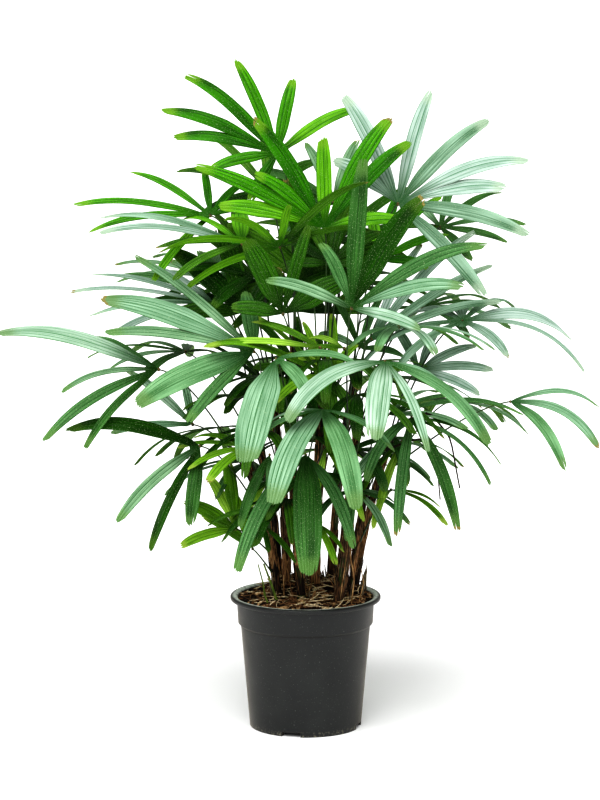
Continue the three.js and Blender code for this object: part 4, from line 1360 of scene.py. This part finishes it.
# %% [markdown]
# ## Leaf stems
#
# A leaf stem is as thin as a knitting needle, and as stiff. Each is a Bezier curve: the quadratic
# curve of the growing rule becomes a cubic one when each handle lies two thirds of the way to the
# knee. The curve's own bevel makes it round, and a small brown knob marks the hub where the
# leaflets spread.

# %% Stems as Bezier curves, joined and made a mesh
STEM_THICK = 1.05                # radius in millimetres at the hub
FOOT_THICKER = 1.4               # times as thick at the cane
KNEE_SHARE = 2 / 3

stem_objects = []
for start, knee, hub, _ in stems:
    bpy.ops.curve.primitive_bezier_curve_add(location=(0, 0, 0))
    curve = bpy.context.object
    ends = curve.data.splines[0].bezier_points
    for point, place, fat in ((ends[0], start, FOOT_THICKER), (ends[1], hub, 1)):
        point.handle_left_type = point.handle_right_type = "FREE"
        point.co = Vector(place * MM)
        inner = place + KNEE_SHARE * (knee - place)
        outer = 2 * place - inner
        point.handle_right = Vector((inner if point == ends[0] else outer) * MM)
        point.handle_left = Vector((outer if point == ends[0] else inner) * MM)
        point.radius = fat
    stem_objects.append(curve)
leaf_stems = join_all(stem_objects, "leaf_stems")
leaf_stems.data.dimensions = "3D"
leaf_stems.data.resolution_u = 14
leaf_stems.data.bevel_depth = STEM_THICK * MM
leaf_stems.data.bevel_resolution = 2
leaf_stems.data.use_fill_caps = True
bpy.ops.object.convert(target="MESH")
leaf_stems = bpy.context.object
bpy.ops.object.shade_smooth()
print("leaf stems:", len(leaf_stems.data.polygons), "faces")

# %% Stem finish: dark green, browner and paler in places
stem_finish = Finish("stem_green", roughness=0.45, specular=0.4)
where = stem_finish.place()
paler = stem_finish.between(stem_finish.noise(where, 24, 3), 0.35, 0.65)
stem_tone = stem_finish.blend(paler, rgb(14, 34, 10), rgb(46, 74, 24))
dry = stem_finish.between(stem_finish.noise(where, 70, 3), 0.6, 0.72, 0.0, 0.6)
stem_finish.colour(stem_finish.blend(dry, stem_tone, rgb(84, 70, 38)))
stem_finish.bump(stem_finish.noise(stem_finish.stretch(where, (1, 1, 0.2)), 900, 2), 0.0003, 0.4)
leaf_stems.data.materials.append(stem_finish.material)
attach(leaf_stems, "root")
print("leaf stems finished")

# %% Hub knobs: one rough bead, copied to every hub
bpy.ops.object.select_all(action="DESELECT")
bpy.ops.mesh.primitive_ico_sphere_add(subdivisions=2, radius=1)
bead = bpy.context.object
bpy.ops.object.mode_set(mode="EDIT")
bpy.ops.transform.vertex_random(offset=0.12, uniform=1.0, seed=5)
bpy.ops.object.mode_set(mode="OBJECT")
bead_corners, bead_faces = take_corners(bead)
knobs = Heap()
for index, (_, _, hub, _) in enumerate(stems):
    size = 2.3 + 0.4 * vary(index, 0, 8)
    knobs.add((bead_corners * size * (1, 1, 1.2) + hub) * MM, bead_faces, 0)
print("knobs:", len(knobs.corners))

# %% Brown and olive for the knobs, then the piece itself
hub_finish = Finish("hub_brown", roughness=0.7, specular=0.3)
where = hub_finish.place()
brown = hub_finish.between(hub_finish.noise(where, 260, 3), 0.4, 0.62)
hub_finish.colour(hub_finish.blend(brown, rgb(40, 46, 18), rgb(110, 92, 54)))
hub_finish.bump(hub_finish.noise(where, 900, 2), 0.0005, 0.5)
knob_piece = knobs.piece("hub_knobs", [hub_finish.material], 60)
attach(knob_piece, "root")

# %% [markdown]
# ## Leaflets
#
# A leaflet is a thin strap with a few lengthwise pleats and a blunt end that looks bitten off.
# Each one is a grid of corners bent over the path of the growing rule: its rows lie across the
# path, and four columns fall on each pleat. Every column ends a little sooner or later, which gives
# the toothed tip, and in half of the leaflets one ends much sooner, which gives a split. Round the
# hub the leaflets are one blade, which is a small fan-shaped plate of its own.
#
# The colours that have a place on a leaflet are painted through a UV map: U counts the pleats and
# V runs from root to tip. All leaflets share one strip of the map for each finish, so that a crease
# line of painted shade falls in the valley of each pleat on every leaf, wide or narrow.

# %% Sizes of a leaflet, its finishes and its share of the map
ROW_SHARES = np.append(np.linspace(0, 0.975, 20), 1)   # the last row is a short tip
PLEAT_WIDTH = 6.5                # millimetres
PLEATS_IN_MAP = 8
COLUMNS_PER_PLEAT = 4
PLEAT_DEPTH = 0.9
PLEATED_FROM = 5                 # half width from which the pleats have their full depth
RIPPLE = 0.9                     # how far a blade's face waves towards its tip
BLADE_THICKNESS = 0.5
ROOF = 0.16                      # slope from the middle fold down to the edges
TOP_SLOTS = 3                    # finishes for upper faces, then those of the underside,
UNDER_SLOT, TIP_SLOT, EDGE_SLOT = 3, 4, 5    # the dry tip and the edge
SLOTS = 6
STRIP_MARGIN = 0.02              # left free at both sides of a finish's strip of the map
ROOT_SHARE = 0.55                # of its full width, which a leaflet has where it leaves the hub
JOINED = 1.35                    # how far leaflets overlap at the hub, where they are one leaf
DRY_SHARE = 0.12                 # of the leaflets, with a dry tip
SLIM_FRONDS = {0: 0.9, 3: 0.76, 4: 0.84}    # edge-on ones, narrower than their solids
# Leaflets with another tone of painted light and shade than their frond's.
ODD_LEAFLETS = {                 # (frond, leaflet): their own tone and which upper finish
    (26, 1): ("deep", 2), (26, 3): ("deep", 2), (16, 1): ("pale", 2), (16, 2): ("pale", 0),
    (22, 3): ("pale", 1), (11, 2): ("middle", 2), (11, 3): ("deep", 2), (11, 5): ("pale", 0),
    (11, 6): ("pale", 1), (17, 1): ("middle", 2), (15, 1): ("pale", 2), (15, 3): ("pale", 0),
    (4, 0): ("deep", 1), (4, 1): ("deep", 0), (4, 2): ("painted_white_sheen", 0), (4, 3): ("painted_white_sheen", 2),
    (5, 0): ("deep", 0), (5, 1): ("deep", 0), (3, 4): ("bright", 2), (3, 5): ("bright", 2),
    (3, 6): ("bright", 2),
}
print(len(ROW_SHARES), "rows,", len(ODD_LEAFLETS), "leaflets with a tone of their own")

# %% The grid of one leaflet


def along_path(shape, t):
    """Path points and directions at any shares of the length, between the path's own steps."""
    steps = np.linspace(0, 1, PATH_STEPS + 1)
    path = leaflet_path(
        shape["hub"], shape["start"], shape["upper"], shape["length"], shape["droop"])
    return [
        np.stack([np.interp(t, steps, values[:, k]) for k in range(3)], axis=-1)
        for values in path
    ]


def tip_cut(rng, pleats, length):
    """How much sooner each column ends, as a share of the length."""
    columns = pleats * COLUMNS_PER_PLEAT + 1
    u = np.linspace(-1, 1, columns)              # across the leaflet
    slant = rng.uniform(-3.5, 3.5) * u
    rounded = rng.uniform(1.5, 7.5) * u ** 2
    teeth = rng.uniform(0, 3.4, columns) + 2.2 * (np.arange(columns) % COLUMNS_PER_PLEAT == 0)
    cut = slant - slant.min() + rounded + teeth
    if rng.random() < 0.5:
        valley = COLUMNS_PER_PLEAT * int(rng.integers(1, pleats))
        cut[valley] += rng.uniform(8, 20)
    return (cut - cut.min()) / length


def blade(shape, rng):
    """Corners of a leaflet's upper and lower face, its pleats and its columns."""
    length = shape["length"]
    full = shape["width"] * SLIM_FRONDS.get(shape["frond"], 1)
    pleats = int(np.clip(round(full / PLEAT_WIDTH), 3, PLEATS_IN_MAP))
    columns = pleats * COLUMNS_PER_PLEAT + 1
    u = np.linspace(-1, 1, columns)
    s = ROW_SHARES[:, None]
    t = s * (1 - tip_cut(rng, pleats, length) * s ** 10)
    place, along, side = along_path(shape, t)
    half = np.minimum(
        full / 2 * np.maximum(ROOT_SHARE, width_at(t * 0.97)),
        JOINED * shape["room"] * (ROOT + t * length),
    )
    face = np.cross(side, along)
    phase = np.arange(columns) % COLUMNS_PER_PLEAT / COLUMNS_PER_PLEAT
    deep_enough = np.minimum(1, half / PLEATED_FROM)
    pleat = np.abs(np.sin(math.pi * phase)) * PLEAT_DEPTH * deep_enough
    ripple = RIPPLE * np.sin(7 * t + 3 * shape["leaflet"] + 2 * u) * t
    rise = half * ROOF * (1 - np.abs(u)) * (1 - 0.5 * t) + pleat + ripple
    middle = place + side * (half * u)[:, :, None]
    top = middle + face * (rise + BLADE_THICKNESS)[:, :, None]
    bottom = middle + face * rise[:, :, None]
    return top, bottom, pleats, columns


pleats, columns = blade(leaflets[0], np.random.default_rng(1))[2:]
print("first leaflet:", pleats, "pleats,", columns, "columns")

# %% Faces, finishes and map positions of leaflets and webs
WEB_SHARE = 0.14                 # of the leaflets' length, along which they are one blade
WEB_STEP = 6                     # degrees from corner to corner along its edge
WEB_LEAST = 0.7                  # share of its reach that it keeps between two leaflets
WEB_ROWS = 4
WEB_THICKNESS = 0.6
WEB_LIFT = 0.4                   # above the fan's own plane
WEB_MAP = 0.12                   # how far up the map a web reaches


def strip(slot, pleat_share, v):
    """Map position in the strip of a finish."""
    return ((slot + STRIP_MARGIN + (1 - 2 * STRIP_MARGIN) * pleat_share) / SLOTS, v)


class Foliage(Heap):
    """A heap whose faces also have map positions."""

    def __init__(self):
        super().__init__()
        self.map = []

    def add_plate(self, top, bottom, share, v, upper_slot, dry=False):
        """A thin closed plate from two grids of corners, with its map shares across and along."""
        rows, columns = top.shape[:2]
        count = rows * columns
        faces, slots = [], []

        def quad(corners, slot, places):
            faces.append(corners)
            slots.append(slot)
            self.map += [strip(slot, p, q) for p, q in places]

        for row in range(rows - 1):
            tip_row = dry and row == rows - 2
            for column in range(columns - 1):
                a = row * columns + column
                b, c, d = a + 1, a + 1 + columns, a + columns
                left, right = share[column], share[column + 1]
                low, high = v[row], v[row + 1]
                quad([a, b, c, d], TIP_SLOT if tip_row else upper_slot,
                     [(left, low), (right, low), (right, high), (left, high)])
                quad([a + count, d + count, c + count, b + count],
                     TIP_SLOT if tip_row else UNDER_SLOT,
                     [(left, low), (left, high), (right, high), (right, low)])
        for a, b in rim_of(rows, columns):
            low, high = v[a // columns], v[b // columns]
            quad([b, a, a + count, b + count], EDGE_SLOT,
                 [(0.1, high), (0.1, low), (0.2, low), (0.2, high)])
        corners = np.concatenate([top.reshape(-1, 3), bottom.reshape(-1, 3)])
        self.add(corners * MM, faces, slots)

    def add_blade(self, shape, rng, chosen=None):
        """A leaflet, whose upper finish is dealt at random where it isn't chosen."""
        top, bottom, _, columns = blade(shape, rng)
        dealt = int(rng.integers(0, TOP_SLOTS))
        dry = rng.random() < DRY_SHARE
        share = np.arange(columns) / COLUMNS_PER_PLEAT / PLEATS_IN_MAP
        upper_slot = dealt if chosen is None else chosen
        self.add_plate(top, bottom, share, ROW_SHARES, upper_slot, dry)

    def add_web(self, index):
        """The small blade at a hub that its leaflets' roots share, scalloped between them."""
        _, _, hub, aim, _, _, _, given = ALL_FRONDS[index]
        out, upper = fan_axes(aim)
        rows = leaflet_rows(index, given)
        turns = np.array([row[0] for row in rows])
        fan = np.arange(turns.min() - WEB_STEP, turns.max() + 2 * WEB_STEP, WEB_STEP)
        near = np.abs(fan[:, None] - turns).min(axis=1)
        usual = WEB_SHARE * np.mean([row[1] for row in rows])
        reach = usual * np.maximum(WEB_LEAST, 1 - near / 50)
        ways = np.array([turn_about(out, upper, -turn) for turn in fan])
        steps = np.linspace(0.06, 1, WEB_ROWS)
        bottom = hub + (steps[:, None] * reach)[:, :, None] * ways + WEB_LIFT * upper
        top = bottom + WEB_THICKNESS * upper
        self.add_plate(top, bottom, np.linspace(0, 1, len(fan)), WEB_MAP * steps, 0)

    def mapped_piece(self, name, materials):
        piece = self.piece(name, materials, 55)
        layer = piece.data.uv_layers.new(name="OFBake")
        layer.data.foreach_set("uv", np.array(self.map, float).ravel())
        return piece


print("leaflet grid of", len(ROW_SHARES), "rows, web of", WEB_ROWS)

# %% Grow every leaflet and web, one heap for each tone
foliage = {tone: Foliage() for tone in TONES}
for shape in leaflets:
    rng = np.random.default_rng(1000 * shape["frond"] + shape["leaflet"])
    usual = (ALL_FRONDS[shape["frond"]][6], None)
    tone, chosen = ODD_LEAFLETS.get((shape["frond"], shape["leaflet"]), usual)
    foliage[tone].add_blade(shape, rng, chosen)
for index, frond in enumerate(ALL_FRONDS):
    foliage[frond[6]].add_web(index)
print({tone: len(heap.faces) for tone, heap in foliage.items()})

# %% [markdown]
# ## Leaf finishes
#
# Every tone of frond has three upper finishes, dealt out leaflet by leaflet, one underside, a dry
# tip and a thin edge. In each, darker lines of painted shade lie in the pleats' valleys and finer
# veins between them, the root is darkened with painted shade, the end has a colour that is partly
# its own yellow-green and partly painted shade where it hangs, and a few dusty specks break the
# gloss.

# %% The pattern's place on a leaflet: across in pleats and along in shares
LEAF_SCALE = 170                 # a usual leaflet's length in millimetres
SLOT_SHIFT = 40.0                # between the patterns of two finishes
DUST = rgb(186, 200, 160)


def leaf_place(finish, slot):
    """Count of pleats from one side, share of the length, and both as a place in millimetres."""
    u, v, _ = finish.split(finish.node("UVMap", {}, uv_map="OFBake")["UV"])
    in_strip = finish.maths("SUBTRACT", finish.times(u, SLOTS), slot + STRIP_MARGIN)
    pleat = finish.times(in_strip, PLEATS_IN_MAP / (1 - 2 * STRIP_MARGIN))
    place = finish.node("CombineXYZ", {
        "X": finish.times(pleat, PLEAT_WIDTH),
        "Y": finish.times(v, LEAF_SCALE),
        "Z": slot * SLOT_SHIFT,
    })["Vector"]
    return pleat, v, place


def painted_fold_shade(finish, pleat, strength):
    """Painted shade: 1 along the valley of each pleat and 0 beside it, weaker where the strength
    is low.
    """
    from_half = finish.maths("FRACT", finish.maths("ADD", pleat, 0.5))
    from_valley = finish.maths("ABSOLUTE", finish.maths("SUBTRACT", from_half, 0.5))
    line = finish.between(from_valley, 0.05, 0.16, 1, 0)
    return finish.times(line, finish.between(strength, 0.35, 0.6, 0.15, 1))


print("leaf pattern ready")

# %% One function for all leaf finishes


def leaf_finish(name, slot, face, line, root, tip, roughness, gloss):
    """Clouds, veins, painted shade in the folds and at the root, the tip, and dust, each laid
    over the last.
    """
    finish = Finish(name, roughness, specular=gloss)
    pleat, v, place = leaf_place(finish, slot)
    veins = finish.noise(finish.stretch(place, (1, 0.02, 1)), 0.5, 4)
    cloud = finish.noise(finish.stretch(place, (1, 0.2, 1)), 0.05, 2)
    strength = finish.noise(finish.stretch(place, (1, 0.03, 1)), 0.2, 2)
    speck = finish.noise(finish.stretch(place, (1, 0.7, 1)), 0.8, 2)
    ragged = finish.maths("ADD", v, finish.times(finish.maths("SUBTRACT", speck, 0.5), 0.2))
    tone = face
    for share, colour in (
        (finish.between(cloud, 0.3, 0.75, 0, 0.7), line),
        (finish.between(veins, 0.42, 0.68, 0, 0.6), line),
        # painted shade in the valley of each pleat
        (painted_fold_shade(finish, pleat, strength), line),
        # painted shade towards the root, where the leaflets meet at the hub
        (finish.between(v, 0, 0.42, 0.9, 0), root),
        # the end's colour: partly its own yellow-green, partly painted shade where it hangs
        (finish.between(ragged, 0.84, 0.93, 0, 0.7), tip),
        (finish.between(speck, 0.61, 0.69, 0, 0.42), DUST),
    ):
        tone = finish.blend(share, tone, colour)
    finish.colour(tone)
    finish.rough(finish.between(cloud, 0.3, 0.7, roughness - 0.06, roughness + 0.08))
    finish.bump(veins, 0.0005, 0.4)
    return finish.material


print("leaf finish ready")

# %% Colours of the six tones
LEAF_TONES = {                   # "tops" and "under" have a face and a line colour each
    # Vivid greens painted for light shining through leaves seen from below: painted light.
    "bright": {
        "tops": (((76, 150, 6), (14, 66, 0)),
                 ((108, 172, 28), (32, 92, 0)),
                 ((54, 124, 2), (8, 50, 0))),
        "under": ((104, 160, 20), (46, 100, 4)),
        "root": (26, 74, 0),
        "tip": (104, 146, 34),
    },
    # Light yellow-greens painted on low inner fans that lie in shade: painted light.
    "painted_glow": {
        "tops": (((126, 174, 44), (60, 104, 8)),
                 ((158, 196, 78), (80, 124, 18)),
                 ((92, 140, 28), (40, 78, 4))),
        "under": ((124, 166, 40), (64, 104, 10)),
        "root": (50, 84, 8),
        "tip": (146, 168, 70),
    },
    # The leaves' own mid green, with painted sheen in its paler, greyer tops.
    "middle": {
        "tops": (((84, 128, 76), (24, 62, 20)),
                 ((132, 164, 130), (36, 82, 40)),
                 ((62, 106, 48), (20, 54, 12))),
        "under": ((84, 126, 30), (38, 80, 8)),
        "root": (22, 58, 6),
        "tip": (86, 120, 62),
    },
    # Mint tops that stand for the white room's reflection on glossy leaves: painted sheen.
    "pale": {
        "tops": (((142, 174, 146), (42, 92, 48)),
                 ((168, 190, 172), (56, 106, 64)),
                 ((116, 156, 114), (36, 84, 34))),
        "under": ((104, 148, 68), (50, 96, 26)),
        "root": (28, 74, 20),
        "tip": (90, 118, 66),
    },
    # Near-white tops that stand for a strong reflection of the white room: painted sheen.
    "painted_white_sheen": {
        "tops": (((164, 184, 172), (46, 92, 56)),
                 ((178, 194, 186), (66, 110, 80)),
                 ((144, 172, 150), (38, 82, 44))),
        "under": ((128, 160, 108), (56, 98, 44)),
        "root": (28, 74, 26),
        "tip": (150, 168, 146),
    },
    # Dark greens for fans deep inside the crown and at the back: painted shade.
    "deep": {
        "tops": (((52, 100, 10), (18, 52, 1)),
                 ((80, 126, 32), (30, 70, 8)),
                 ((32, 76, 4), (9, 38, 0))),
        "under": ((72, 120, 14), (32, 70, 2)),
        "root": (15, 44, 1),
        "tip": (64, 96, 24),
    },
}
DRY_FACES = ((128, 136, 58), (92, 82, 34))
DRY_END = (126, 112, 66)
print(len(LEAF_TONES), "tones")

# %% The six pieces of foliage


def finishes_of(tone):
    """The tone's six finishes in the order of their slots."""
    look = LEAF_TONES[tone]
    rows = [(letter, top, look["tip"], 0.4, 0.09) for letter, top in zip("abc", look["tops"])]
    # The underside's vivid green is the leaf's own, lightened as painted light shining through it.
    rows.append(("under", look["under"], look["tip"], 0.55, 0.15))
    rows.append(("dry_tip", DRY_FACES, DRY_END, 0.6, 0.2))
    rows.append(("edge", look["under"], look["tip"], 0.5, 0.15))
    return [
        leaf_finish(f"leaf_{tone}_{name}", slot, rgb(*face), rgb(*line), rgb(*look["root"]),
                    rgb(*tip), roughness, gloss)
        for slot, (name, (face, line), tip, roughness, gloss) in enumerate(rows)
    ]


for tone in TONES:
    leaves = foliage[tone].mapped_piece(f"leaves_{tone}", finishes_of(tone))
    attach(leaves, "root")
    numbers = [index + 1 for index, frond in enumerate(FRONDS) if frond[6] == tone]
    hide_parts(*[f"frond_{number:02d}" for number in numbers])

# %% The dressed plant is ready
print("dressed plant ready")
